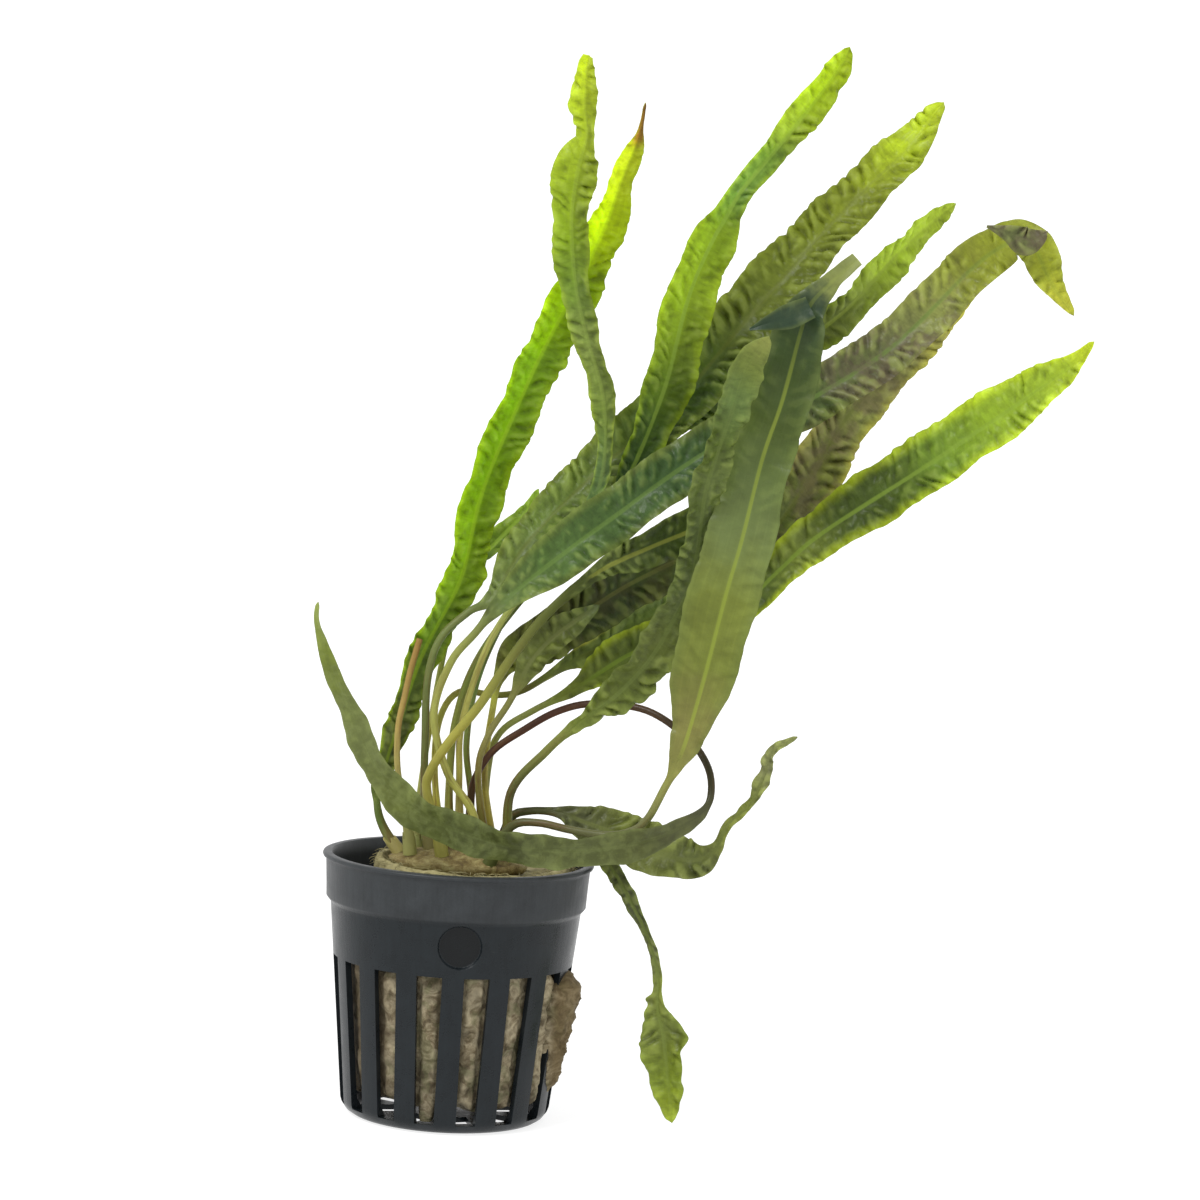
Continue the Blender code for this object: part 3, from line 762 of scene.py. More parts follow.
@dataclass(frozen=True)
class PotFinish:
    """Dark satin plastic with a duller collar, faint upright flow lines, scuffs and a dry lime film.

    The round recess is darkened with painted shade, partly the dark of a wet patch.
    """

    body: Colour = tint(22, 27, 30)
    collar: Colour = tint(44, 47, 49)
    collar_low: float = 41.0
    collar_high: float = 41.6
    scuff: Colour = tint(120, 122, 118)
    scuff_share: float = 0.2
    roughness: float = 0.3
    recess_shade_and_wet: float = 0.35
    recess_shade_edge: float = 0.9

    def material(self, recess: Vector, recess_radius: float) -> Material:
        """Builds the pot's material.

        Args:
            recess: The middle of the round recess in the band.
            recess_radius: The recess's radius.

        Returns:
            The material.
        """
        sheet = ShaderSheet("pot_plastic")
        place = sheet.millimetres()
        level = sheet.split(place)[2]
        flow = sheet.grain(sheet.millimetres((1, 1, 0.1)), size=0.9)
        fine = sheet.grain(place, size=0.3)
        film = sheet.grain(place, size=5.0, detail=5.0, rough=0.65, warp=0.4)
        collar = sheet.step(level, self.collar_low, self.collar_high)
        colour = sheet.mix(collar, self.body, self.collar)
        value = sheet.total(1.0, sheet.around(flow, 0.5), sheet.around(film, 0.9), sheet.around(fine, 0.4))
        colour = sheet.shade(colour, value)
        marks = sheet.grain(sheet.millimetres((0.5, 0.5, 3.0)), size=1.4, detail=5.0, rough=0.7, warp=0.8)
        scuffs = sheet.product(sheet.step(marks, 0.66, 0.8), self.scuff_share)
        colour = sheet.mix(scuffs, colour, self.scuff)
        # Painted shade in the round recess, partly the dark of a wet patch.
        away = sheet.add("ShaderNodeVectorMath", {0: place, 1: recess}, operation="DISTANCE").outputs["Value"]
        recess_shade_and_wet_value = sheet.step(away, recess_radius * self.recess_shade_edge, recess_radius, bottom=self.recess_shade_and_wet)
        colour = sheet.shade(colour, recess_shade_and_wet_value)
        rough = sheet.total(self.roughness, sheet.product(collar, 0.12), sheet.around(film, 0.35),
                            sheet.around(fine, 0.15))
        height = sheet.total(sheet.product(fine, 0.4), sheet.product(flow, 0.6))
        normal = sheet.bump(height, depth=0.12, strength=0.4)
        return sheet.surface(sheet.skin(colour, rough, 0.22, {"Normal": normal}))


@dataclass(frozen=True)
class WoolFinish:
    """Brown blotched mineral wool, paler and yellower on top.

    Its left flank is darkened with painted shade, partly the dark of wet wool.
    """

    stops: tuple[Stop, ...] = shades((0.3, 70, 60, 42), (0.43, 110, 98, 74), (0.54, 136, 126, 102),
                                     (0.68, 158, 148, 122))
    algae: Colour = tint(98, 100, 68)
    algae_share: float = 0.45
    lump: Colour = tint(96, 80, 50)
    lump_share: float = 0.72
    painted_flank_shade: Colour = tint(72, 62, 46)
    painted_flank_shade_share: float = 0.75
    top: Colour = tint(158, 150, 104)
    top_share: float = 0.7

    def material(self) -> Material:
        """Builds the wool's material.

        Returns:
            The material.
        """
        sheet = ShaderSheet("rock_wool")
        place = sheet.millimetres()
        side, _, level = sheet.split(place)
        tufts = sheet.grain(place, size=2.6, detail=6.0, rough=0.6, warp=1.2)
        clumps = sheet.grain(place, size=5.0, detail=4.0, rough=0.6, warp=0.5)
        fine = sheet.grain(place, size=0.35, detail=5.0, rough=0.75, warp=0.5)
        both = sheet.total(sheet.product(tufts, 0.75), sheet.product(fine, 0.25))
        colour = sheet.ramp(both, self.stops)
        colour = sheet.shade(colour, sheet.step(clumps, 0.32, 0.62, bottom=0.6, top=1.12))
        growth = sheet.grain(sheet.millimetres(shift=31.0), size=3.6, detail=4.0, rough=0.6, warp=0.6)
        algae = sheet.step(growth, 0.5, 0.62, top=self.algae_share)
        colour = sheet.mix(algae, colour, self.algae)
        colour = sheet.shade(colour, sheet.step(level, 3.0, 15.0, bottom=0.8))
        lump = sheet.step(side, 18.6, 21.0, top=self.lump_share)
        colour = sheet.mix(lump, colour, self.lump)
        colour = sheet.shade(colour, sheet.step(tufts, 0.35, 0.6, bottom=0.75, top=1.1))
        # Painted shade on the left flank, partly the dark of wet wool.
        flank = sheet.total(side, sheet.around(clumps, 9.0))
        painted_flank_shade = sheet.step(flank, -13.0, -7.0, bottom=self.painted_flank_shade_share, top=0.0)
        colour = sheet.mix(painted_flank_shade, colour, self.painted_flank_shade)
        top = sheet.step(sheet.total(level, sheet.product(clumps, 3.0)), 46.5, 50.0, bottom=0.0,
                         top=self.top_share)
        colour = sheet.mix(top, colour, self.top)
        normal = sheet.bump(both, depth=0.4, strength=0.6)
        rough = sheet.step(fine, 0.2, 0.8, bottom=0.7, top=0.98)
        return sheet.surface(sheet.skin(colour, rough, 0.25, {"Normal": normal}))


@dataclass(frozen=True)
class Ruffle:
    """Blisters between a blade's side veins, and the frill of its margins, in millimetres."""

    height: float = 0.52
    length: float = 2.7
    slant: float = 0.5
    frill: float = 0.35
    scallop: float = 0.025
    curl: float = 0.12
    calm_from: float = 1.0
    calm_over: float = 0.08
    calm_share: float = 0.8
    arch_power: float = 0.85
    arch_drop: float = 0.58
    arch_share: float = 1.3
    lump_share: float = 0.8
    least_strength: float = 0.75
    rib_calm: Span = (0.04, 0.42)
    edge_calm: Span = (0.85, 1.0)
    edge_calm_share: float = 0.3
    wander: Ripple = Ripple(along=0.28, across=0.22, height=1.8)
    strength: Ripple = Ripple(along=0.17, across=0.13, height=1.5, shift=4.7)
    lump: Ripple = Ripple(along=0.42, across=0.5, height=0.9, shift=2.6)
    fine: Ripple = Ripple(along=1.0, across=0.8, height=0.7, shift=9.1)
    curl_wave: Ripple = Ripple(along=0.035, across=1.0)
    frill_wave: Ripple = Ripple(along=0.34, across=1.0)
    frill_seed: float = 31.0


@dataclass(frozen=True)
class Station:
    """One cross-section's place on a leaf."""

    spot: Vector
    width: float
    turn: float
    flat: float
    walked: float
    run: float
    left: float


@dataclass(frozen=True)
class Notch:
    """A bite out of one margin, or a lobe where its depth is negative, placed by its share of the run."""

    run: float
    flank: int
    depth: float
    spread: float


@dataclass(frozen=True)
class Flap:
    """A torn, folded bit of a blade: (side, height, width) points at one depth, coloured as at one run."""

    points: tuple[tuple[float, ...], ...]
    depths: tuple[float, ...]
    turn: float
    run: float


@dataclass
class Leaf:
    """One leaf, or a bare old stalk where it has no blade.

    foot is the place on the crown, (side, depth). stalk holds (side, height) points, and blade holds
    (side, height, width) or (side, height, width, turn) points up to the tip, all on the sight board,
    with the width that shows from the front. depths are spaced evenly from the foot to the tip. turn
    is in degrees about the leaf's own line, and a point's turn adds to the leaf's.
    """

    node: str
    slot: Slot
    foot: tuple[float, float]
    stalk: tuple[tuple[float, ...], ...]
    blade: tuple[tuple[float, ...], ...]
    depths: tuple[float, ...]
    finish: LeafFinish
    turn: float = 0.0
    stalk_width: float = 1.5
    ruffle: Ruffle = field(default_factory=Ruffle)
    blunt: bool = False
    notches: tuple[Notch, ...] = ()
    flaps: tuple[Flap, ...] = ()
    stalk_step: float = 1.2
    blade_step: float = 0.34
    least_width: float = 0.3
    across_steps: int = 28
    crowding: float = 1.2
    keel: float = 0.22
    wave: float = 0.7
    wave_length: float = 15.0
    right_phase: float = 1.9
    right_seed: float = 3.7
    flank_seeds: Span = (2.0, 9.0)
    full_half: float = 2.8
    thickness: float = 0.3
    edge_power: float = 0.4
    rib_height: float = 0.34
    rib_front: float = 0.25
    rib_width: float = 0.55
    rib_fade: Span = (-6.0, 34.0)
    foot_radius: float = 1.12
    foot_length: float = 12.0
    foot_lift: float = -0.6
    stalk_depth: float = 0.88
    flap_offset: float = 4.0
    sleeve_length: float = 4.0
    sleeve_sides: int = 24
    sleeve_shares: tuple[float, ...] = (1.2, 1.16, 1.12, 1.06, 0.9)
    sleeve_torn_from: int = 3
    sleeve_tear: float = 3.2
    sleeve_tear_size: float = 2.2
    sharp: float = 60.0

    def seed(self) -> float:
        """A number of this leaf's own for its noise."""
        return 13.7 * (1 + sum(ord(letter) for letter in self.node) % 97)

    def stations(self) -> list[Station]:
        """Finds the cross-sections of the leaf's line.

        Returns:
            The cross-sections from the foot to the tip.
        """
        foot_height = Crown().height_at(*self.foot) + self.foot_lift
        points = [Vector((self.foot[0], foot_height))] + [Vector(point) for point in self.stalk]
        points += [Vector(point[:2]) for point in self.blade]
        turns = [self.turn] * (1 + len(self.stalk))
        widths = [self.stalk_width] * len(turns)
        for point in self.blade:
            turns.append(self.turn + (point[3] if len(point) > 3 else 0.0))
            widths.append(point[2] / math.cos(math.radians(turns[-1])))
        rows = self.walk(points, widths, turns, (self.foot[1],) + self.depths, 1 + len(self.stalk))
        rows[0] = replace(rows[0], spot=Vector((self.foot[0], self.foot[1], foot_height)))
        return rows

    def walk(self, points: list[Vector], widths: list[float], turns: list[float],
             depths: tuple[float, ...], blade_start: int) -> list[Station]:
        """Walks along a line and reads its cross-sections.

        Args:
            points: Places on the sight board.
            widths: The width at each place.
            turns: The turn at each place, in degrees.
            depths: Depths, spaced evenly along the line.
            blade_start: The number of the first place on the blade.

        Returns:
            The cross-sections.
        """
        spans = [(after - before).length for before, after in zip(points, points[1:])]
        total = sum(spans)
        stalk_length = sum(spans[:blade_start]) if blade_start < len(points) else total
        rows = []
        walked = 0.0
        for index, span in enumerate(spans):
            step = self.blade_step if index + 1 >= blade_start else self.stalk_step
            count = max(1, round(span / step))
            for part in range(count + (index == len(spans) - 1)):
                place = index + part / count
                way = walked + span * part / count
                spot = smooth_value(points, place)
                depth = smooth_value(depths, way / total * (len(depths) - 1))
                if way < stalk_length:
                    run = 0.5 * way / stalk_length
                else:
                    run = 0.5 + 0.5 * (way - stalk_length) / max(total - stalk_length, 1.0)
                rows.append(Station(
                    spot=SIGHT.place(spot.x, spot.y, depth),
                    width=max(self.least_width, smooth_value(widths, place)),
                    turn=smooth_value(turns, place),
                    flat=min(1.0, max(0.0, place - blade_start + 1)),
                    walked=way, run=run, left=total - way))
            walked += span
        return rows

    def blister(self, walked: float, side: float, half: float) -> float:
        """How far a place on the blade is pushed out between its side veins.

        Args:
            walked: Its distance from the foot.
            side: Its share of the way across, from -1 to 1.
            half: Half the blade's width there.

        Returns:
            The push, from about -1 to 1.
        """
        ruffle = self.ruffle
        reach = abs(side)
        out = reach * half
        seed = self.seed() + (self.right_seed if side > 0 else 0.0)
        along = walked - ruffle.slant * out
        along += ruffle.wander.at(along, out, seed)
        strength = ruffle.least_strength + ruffle.strength.at(along, out, seed)
        arch = abs(math.sin(math.pi * along / ruffle.length)) ** ruffle.arch_power - ruffle.arch_drop
        lumps = ruffle.lump.at(walked, out, seed) + ruffle.fine.at(walked, out, seed)
        middle = ease(*ruffle.rib_calm, reach) * (1 - ruffle.edge_calm_share * ease(*ruffle.edge_calm, reach))
        return middle * (ruffle.arch_share * strength * arch + ruffle.lump_share * lumps)

    def lift(self, station: Station, side: float, half: float, push: float) -> float:
        """How far a place on the blade stands forward of the leaf's own line.

        Args:
            station: The cross-section.
            side: The place's share of the way across, from -1 to 1.
            half: Half the blade's width there.
            push: The place's blister.

        Returns:
            The lift in millimetres.
        """
        ruffle = self.ruffle
        reach = abs(side)
        flank = self.flank_seeds[side > 0]
        full = min(1.0, half / self.full_half)
        phase = math.tau * station.walked / self.wave_length + (self.right_phase if side > 0 else 0.0)
        curl = ruffle.curl_wave.at(station.walked, self.seed(), flank)
        frill = ruffle.frill_wave.at(station.walked, self.seed() + ruffle.frill_seed, flank)
        bend = reach * (self.keel * half + self.wave * math.sin(phase) * full)
        bend += ruffle.curl * half * curl * reach * reach * 2
        bend += ruffle.frill * 2 * frill * reach ** 3 * full
        return station.flat * (bend + ruffle.height * push * full)

    def width_share(self, station: Station, side: float, push: float) -> float:
        """How much wider or narrower the blade is at a place across it.

        Args:
            station: The cross-section.
            side: The place's share of the way across, from -1 to 1.
            push: The place's blister.

        Returns:
            The factor on the width.
        """
        share = 1 + self.ruffle.scallop * push * abs(side)
        for notch in self.notches:
            if notch.flank * side > 0:
                share -= notch.depth * math.exp(-((station.run - notch.run) / notch.spread) ** 2)
        return share

    def columns(self, station: Station, half: float, flat: float) -> list[tuple[float, float, float, float]]:
        """Places across the blade, from its right margin to its left one.

        Args:
            station: The cross-section.
            half: Half the blade's width there.
            flat: How far the stalk has become a blade, from 0 to 1.

        Returns:
            For each place (share across, blister, distance across, lift).
        """
        ruffle = self.ruffle
        calm = ease(ruffle.calm_from, ruffle.calm_from + ruffle.calm_over, station.run)
        calm = 1 - ruffle.calm_share * calm
        found = []
        for index in range(self.across_steps + 1):
            even = 1 - 2 * index / self.across_steps
            side = math.copysign(abs(even) ** self.crowding, even)
            push = calm * self.blister(station.walked, side, half) if flat > 0 else 0.0
            width = half * self.width_share(station, side, push)
            found.append((side, push, width * side, self.lift(station, side, half, push)))
        return found

    def ring(self, station: Station, along: Vector) -> tuple[list[Vector], list[tuple[float, ...]]]:
        """One cross-section: round in the stalk, a thin ruffled lens with a midrib in the blade.

        Args:
            station: Where the cross-section is.
            along: The leaf's direction there.

        Returns:
            The corners, and for each corner (distance across, share across, blister, facing).
        """
        across = along.cross(Vector((0, -1, 0))).normalized()
        out = across.cross(along).normalized()
        angle = math.radians(station.turn)
        across, out = (across * math.cos(angle) + out * math.sin(angle),
                       out * math.cos(angle) - across * math.sin(angle))
        stalk_half = self.stalk_width / 2
        foot = min(1.0, station.walked / self.foot_length)
        round_half = max(self.foot_radius + (stalk_half - self.foot_radius) * foot, stalk_half)
        half = station.width / 2
        if self.blade and not self.blunt:
            half *= math.sqrt(ease(0.0, 1.0, station.left + 0.03))
        flat = ease(0.0, 1.0, station.flat)
        rib_height = self.rib_height * ease(*self.rib_fade, station.left)
        columns = self.columns(station, half, flat)
        places, marks = [], []
        corners = 2 * self.across_steps
        for index in range(corners):
            facing = 1.0 if index < self.across_steps else -1.0
            side, push, sideways, lifted = columns[index if index <= self.across_steps else corners - index]
            thick = 0.5 * self.thickness * max(0.0, 1 - side * side) ** self.edge_power
            rib = rib_height * math.exp(-(sideways / self.rib_width) ** 2)
            thick += rib * (self.rib_front if facing > 0 else 1.0)
            turn = index * math.tau / corners
            flat_place = across * sideways + out * (facing * thick + lifted)
            round_place = (across * math.cos(turn) + out * self.stalk_depth * math.sin(turn)) * round_half
            places.append(station.spot + round_place.lerp(flat_place, flat))
            marks.append((sideways, side, push * flat, facing))
        return places, marks

    def sleeve_rings(self, rows: list[Station]) -> Rings:
        """The thin torn sheath round the stalk's foot.

        Args:
            rows: The leaf's cross-sections.

        Returns:
            The sheath's own, the last of which is inside the stalk.
        """
        low = [row for row in rows if row.walked <= self.sleeve_length]
        along = (low[-1].spot - low[0].spot).normalized()
        across = along.cross(Vector((0, -1, 0))).normalized()
        out = across.cross(along)
        rings = []
        for index, share in enumerate(self.sleeve_shares):
            spot = low[0].spot.lerp(low[-1].spot, min(1.0, index / self.sleeve_torn_from))
            ring = []
            for corner in range(self.sleeve_sides):
                angle = corner * math.tau / self.sleeve_sides
                way = across * math.cos(angle) + out * 0.9 * math.sin(angle)
                size = self.sleeve_tear_size
                tear = noise.noise(Vector((size * math.cos(angle), size * math.sin(angle), self.seed())))
                rise = self.sleeve_tear * tear * (1.0 if index >= self.sleeve_torn_from else 0.0)
                ring.append(spot + way * share * self.foot_radius + along * rise)
            rings.append(ring)
        return rings

    def add_rows(self, mesh_tool: Mesh, rows: list[Station], run: Optional[float] = None) -> None:
        """Lofts cross-sections and marks each corner with its place on the leaf.

        Args:
            mesh_tool: The mesh being built.
            rows: The cross-sections.
            run: The share of the run that sets the colour, where it isn't the cross-section's own.
        """
        rings, marks = [], []
        for index, row in enumerate(rows):
            before = rows[max(index - 1, 0)].spot
            after = rows[min(index + 1, len(rows) - 1)].spot
            along = (after - before).normalized()
            if index == 0 and run is None:
                along = (along + Vector((0, 0, 2))).normalized()
            places, mark = self.ring(row, along)
            rings.append(places)
            marks.append(mark)
        place_layer = mesh_tool.verts.layers.float_vector["leaf_place"]
        form_layer = mesh_tool.verts.layers.float_vector["leaf_form"]
        for row, ring, mark in zip(rows, add_tube(mesh_tool, rings), marks):
            for corner, (distance, share, push, facing) in zip(ring, mark):
                if run is not None:
                    distance += self.flap_offset
                corner[place_layer] = Vector((distance, row.walked, row.run if run is None else run))
                corner[form_layer] = Vector((share, push, facing))

    def build(self) -> Piece:
        """Lofts the leaf with its sheath and torn flaps, and dresses it.

        Returns:
            The finished piece.
        """
        mesh_tool = bmesh.new()
        mesh_tool.verts.layers.float_vector.new("leaf_place")
        mesh_tool.verts.layers.float_vector.new("leaf_form")
        rows = self.stations()
        self.add_rows(mesh_tool, rows)
        add_tube(mesh_tool, self.sleeve_rings(rows))
        for flap in self.flaps:
            points = [Vector(point[:2]) for point in flap.points]
            widths = [point[2] for point in flap.points]
            strip = self.walk(points, widths, [flap.turn] * len(points), flap.depths, 0)
            self.add_rows(mesh_tool, strip, flap.run)
        material = self.finish.material(self.node, self.seed())
        return finish_piece(mesh_tool, self.node + "_fine", material, self.node, self.sharp)


@dataclass
class Crown:
    """The low rootstock in the plug's top, with scars and matted rootlets."""

    side: float = 13.4
    depth: float = 9.0
    top: float = 52.4
    drop: float = 2.6
    sunk: float = 0.4
    sides: int = 96
    dome_steps: int = 40
    foot_levels: tuple[tuple[float, float], ...] = ((0.86, 47.5), (0.93, 47.8), (0.98, 48.4))
    lumps: tuple[Ripple, ...] = (Ripple(0.35, 0.35, 0.5, 3.0), Ripple(1.3, 1.3, 0.3, 8.0),
                                 Ripple(3.1, 3.1, 0.16, 5.0))
    spread: Ripple = Ripple(4.0, 4.0, 0.02)
    finish: CrownFinish = CrownFinish()

    def height_at(self, side: float, depth: float) -> float:
        """The height of the dome at a place."""
        return self.top - self.drop * ((side / self.side) ** 2 + (depth / self.depth) ** 2)

    def dome_rings(self) -> Rings:
        """Finds the dome's cross-sections, with low scars and lumps.

        Returns:
            The cross-sections from its foot to its middle.
        """
        levels = list(self.foot_levels)
        levels += [(1 - index / self.dome_steps, None) for index in range(self.dome_steps)]
        rings = []
        for share, height in levels:
            ring = []
            for index in range(self.sides):
                angle = index * math.tau / self.sides
                side = share * self.side * math.cos(angle)
                depth = share * self.depth * math.sin(angle)
                level = self.height_at(side, depth) - self.sunk if height is None else height
                lump = sum(ripple.at(side, depth, 0.0) for ripple in self.lumps)
                spread = 1 + self.spread.at(math.cos(angle), math.sin(angle), level)
                ring.append(Vector((side * spread, depth * spread, level + lump)))
            rings.append(ring)
        return rings

    def build(self) -> Piece:
        """Makes the crown.

        Returns:
            The finished piece.
        """
        mesh_tool = bmesh.new()
        add_tube(mesh_tool, self.dome_rings())
        return finish_piece(mesh_tool, "crown_fine", self.finish.material(), "crown")


@dataclass
class NetPot:
    """The slotted pot: one moulded piece with a thin lip, a collar, slots, ribs and a rounded foot."""

    height: float = 50.0
    lip_radius: float = 26.0
    lip_thickness: float = 0.9
    lip_steps: int = 5
    collar_top: float = 25.3
    collar_foot: float = 24.9
    collar_height: float = 8.7
    step_drop: float = 0.9
    body_top: float = 24.0
    body_foot: float = 20.2
    corner: float = 3.4
    wall: float = 1.3
    base: float = 1.0
    base_middle: float = 3.0
    slot_count: int = 16
    slot_turn: float = 14.0
    slot_top: float = 30.5
    slot_low: float = 2.0
    slot_top_width: float = 4.9
    slot_low_width: float = 3.7
    slot_steps: int = 9
    base_slots: int = 8
    base_slot_width: float = 5.4
    base_slot_inner: float = 8.0
    base_slot_outer: float = 16.2
    base_slot_steps: int = 3
    base_cut_steps: int = 12
    band_steps: int = 12
    recess_radius: float = 4.1
    recess_depth: float = 0.7
    recess_height: float = 36.4
    recess_turn: float = 5.0
    steps_per_slot: int = 16
    bevel: float = 0.22
    sharp: float = 60.0
    finish: PotFinish = PotFinish()

    def outer_radius(self, height: float) -> float:
        """Reads the body's outer radius.

        Args:
            height: Where to read it.

        Returns:
            The radius there.
        """
        if height < self.corner:
            rise = 1 - height / self.corner
            return self.body_foot - self.corner + self.corner * math.sqrt(1 - rise * rise)
        share = (height - self.corner) / (self.step_foot() - self.corner)
        return self.body_foot + (self.body_top - self.body_foot) * share

    def inner_bend(self) -> float:
        """The height where the inside turns from the floor into the wall."""
        return self.corner + 0.6

    def inner_radius(self, height: float) -> float:
        """Reads the body's inner radius.

        Args:
            height: Where to read it.

        Returns:
            The radius there.
        """
        bend = self.inner_bend()
        if height >= bend:
            return self.outer_radius(height) - self.wall
        share = (height - self.base) / (bend - self.base)
        floor_radius = self.body_foot - self.corner
        return floor_radius + share * (self.outer_radius(bend) - self.wall - floor_radius)

    def step_foot(self) -> float:
        """The height of the body's top, under the collar."""
        return self.height - self.collar_height - self.step_drop

    def slot_levels(self) -> list[float]:
        """Spreads rings over the slots' height.

        Returns:
            The rings' heights.
        """
        low = [self.slot_low, self.slot_low + 0.7, self.corner, self.inner_bend()]
        rest = self.slot_top - low[-1]
        return low + [low[-1] + rest * (index + 1) / self.slot_steps for index in range(self.slot_steps)]

    def lip_corners(self) -> list[tuple[float, float]]:
        """Rounds the lip's edge.

        Returns:
            Its (radius, height) corners from the top to the underside.
        """
        bend = self.lip_thickness / 2
        corners = [(self.collar_top - self.wall + 0.35, self.height)]
        for index in range(self.lip_steps):
            angle = math.radians(90 - 180 * index / (self.lip_steps - 1))
            corners.append((self.lip_radius - bend + bend * math.cos(angle),
                            self.height - bend + bend * math.sin(angle)))
        return corners

    def section(self) -> list[tuple[float, float]]:
        """Draws the wall's section.

        Returns:
            Its (radius, height) corners, from the inside floor's middle over the lip to the underside.
        """
        levels = self.slot_levels()
        slot_length = self.base_slot_outer - self.base_slot_inner
        radii = [self.base_slot_inner + slot_length * index / self.base_slot_steps
                 for index in range(self.base_slot_steps + 1)]
        band = self.step_foot() - self.slot_top
        levels += [self.slot_top + band * (index + 1) / self.band_steps for index in range(self.band_steps)]
        collar_foot = self.height - self.collar_height
        inside = [(0.0, self.base), (self.base_middle, self.base)] + [(radius, self.base) for radius in radii]
        inside += [(self.body_foot - self.corner, self.base)]
        inside += [(self.inner_radius(level), level) for level in levels]
        inside += [(self.collar_foot - self.wall, collar_foot),
                   (self.collar_top - self.wall - 0.2, self.height - 3.0),
                   (self.collar_top - self.wall, self.height - 0.5)]
        outside = [(self.collar_top + 0.15, self.height - self.lip_thickness - 0.1),
                   (self.collar_top, self.height - self.lip_thickness - 0.6),
                   (self.collar_foot + 0.1, collar_foot + 2.5), (self.collar_foot, collar_foot + 0.35),
                   (self.collar_foot - 0.25, collar_foot), (self.body_top + 0.1, self.step_foot() + 0.25)]
        outside += [(self.outer_radius(level), level) for level in reversed(levels)]
        outside += [(self.outer_radius(0.9), 0.9), (self.outer_radius(0.3), 0.3)]
        underside = [(self.body_foot - self.corner, 0.0)] + [(radius, 0.0) for radius in reversed(radii)]
        return inside + self.lip_corners() + outside + underside + [(self.base_middle, 0.0), (0.0, 0.0)]

    def bend_to_slots(self, place: Vector) -> Vector:
        """Moves a spun corner round the axis, so that the slots' edges run where the solid's do.

        Args:
            place: The corner as it was spun.

        Returns:
            Where it goes.
        """
        radius = math.hypot(place.x, place.y)
        if radius < self.base_slot_inner / 2:
            return place
        if place.z <= self.base + 0.01 and radius < self.base_slot_outer + 0.5:
            count, cut_steps, width = self.base_slots, self.base_cut_steps, self.base_slot_width
        else:
            share = min(1.0, max(0.0, (place.z - self.slot_low) / (self.slot_top - self.slot_low)))
            count, cut_steps = self.slot_count, self.steps_per_slot // 2
            width = self.slot_low_width + (self.slot_top_width - self.slot_low_width) * share
        sector = 360 / count
        turn = turn_of(place) - self.slot_turn
        offset = off_middle(turn, sector)
        nominal = cut_steps * 180 / (self.slot_count * self.steps_per_slot)
        wanted = math.degrees(math.asin(min(0.9, width / 2 / radius)))
        if abs(offset) <= nominal:
            moved = offset * wanted / nominal
        else:
            rest = (abs(offset) - nominal) * (sector / 2 - wanted) / (sector / 2 - nominal)
            moved = math.copysign(wanted + rest, offset)
        return turned(radius, turn - offset + moved + self.slot_turn, place.z)

    def cut_kind(self, centre: Vector) -> Optional[tuple[str, int]]:
        """Tells which opening a spun face belongs to, before the corners are moved.

        Args:
            centre: The face's middle.

        Returns:
            The kind of opening and its number, or None.
        """
        radius = math.hypot(centre.x, centre.y)
        turn = turn_of(centre) - self.slot_turn
        if self.slot_low < centre.z < self.slot_top and radius > self.body_foot - self.corner:
            kind, count, cut_steps = "wall", self.slot_count, self.steps_per_slot // 2
        elif centre.z < self.base + 0.01 and self.base_slot_inner < radius < self.base_slot_outer:
            kind, count, cut_steps = "base", self.base_slots, self.base_cut_steps
        else:
            return None
        sector = 360 / count
        offset = off_middle(turn, sector)
        if abs(offset) < cut_steps * 180 / (self.slot_count * self.steps_per_slot):
            return kind, round((turn - offset) / sector) % count
        return None

    def recess_centre(self) -> Vector:
        """The middle of the round recess in the plain band over the slots."""
        return turned(self.outer_radius(self.recess_height), self.recess_turn, self.recess_height)

    def press_recess(self, mesh_tool: Mesh) -> None:
        """Presses the shallow round recess into the band.

        Args:
            mesh_tool: The pot's mesh.
        """
        centre = self.recess_centre()
        near = [face for face in mesh_tool.faces
                if (face.calc_center_median() - centre).length < self.recess_radius * 1.3
                and face.normal.dot(turned(1.0, self.recess_turn, 0.0)) > 0.5]
        edges = list(dict.fromkeys(edge for face in near for edge in face.edges))
        bmesh.ops.subdivide_edges(mesh_tool, edges=edges, cuts=3, use_grid_fill=True)
        inward = turned(-1.0, self.recess_turn, 0.0)
        for corner in mesh_tool.verts:
            outward = math.hypot(corner.co.x, corner.co.y) > self.outer_radius(self.recess_height) - 0.7
            away = (corner.co - centre).length
            if outward and away < self.recess_radius * 1.2:
                rim = ease(self.recess_radius * 1.03, self.recess_radius * 0.95, away)
                corner.co += inward * self.recess_depth * rim

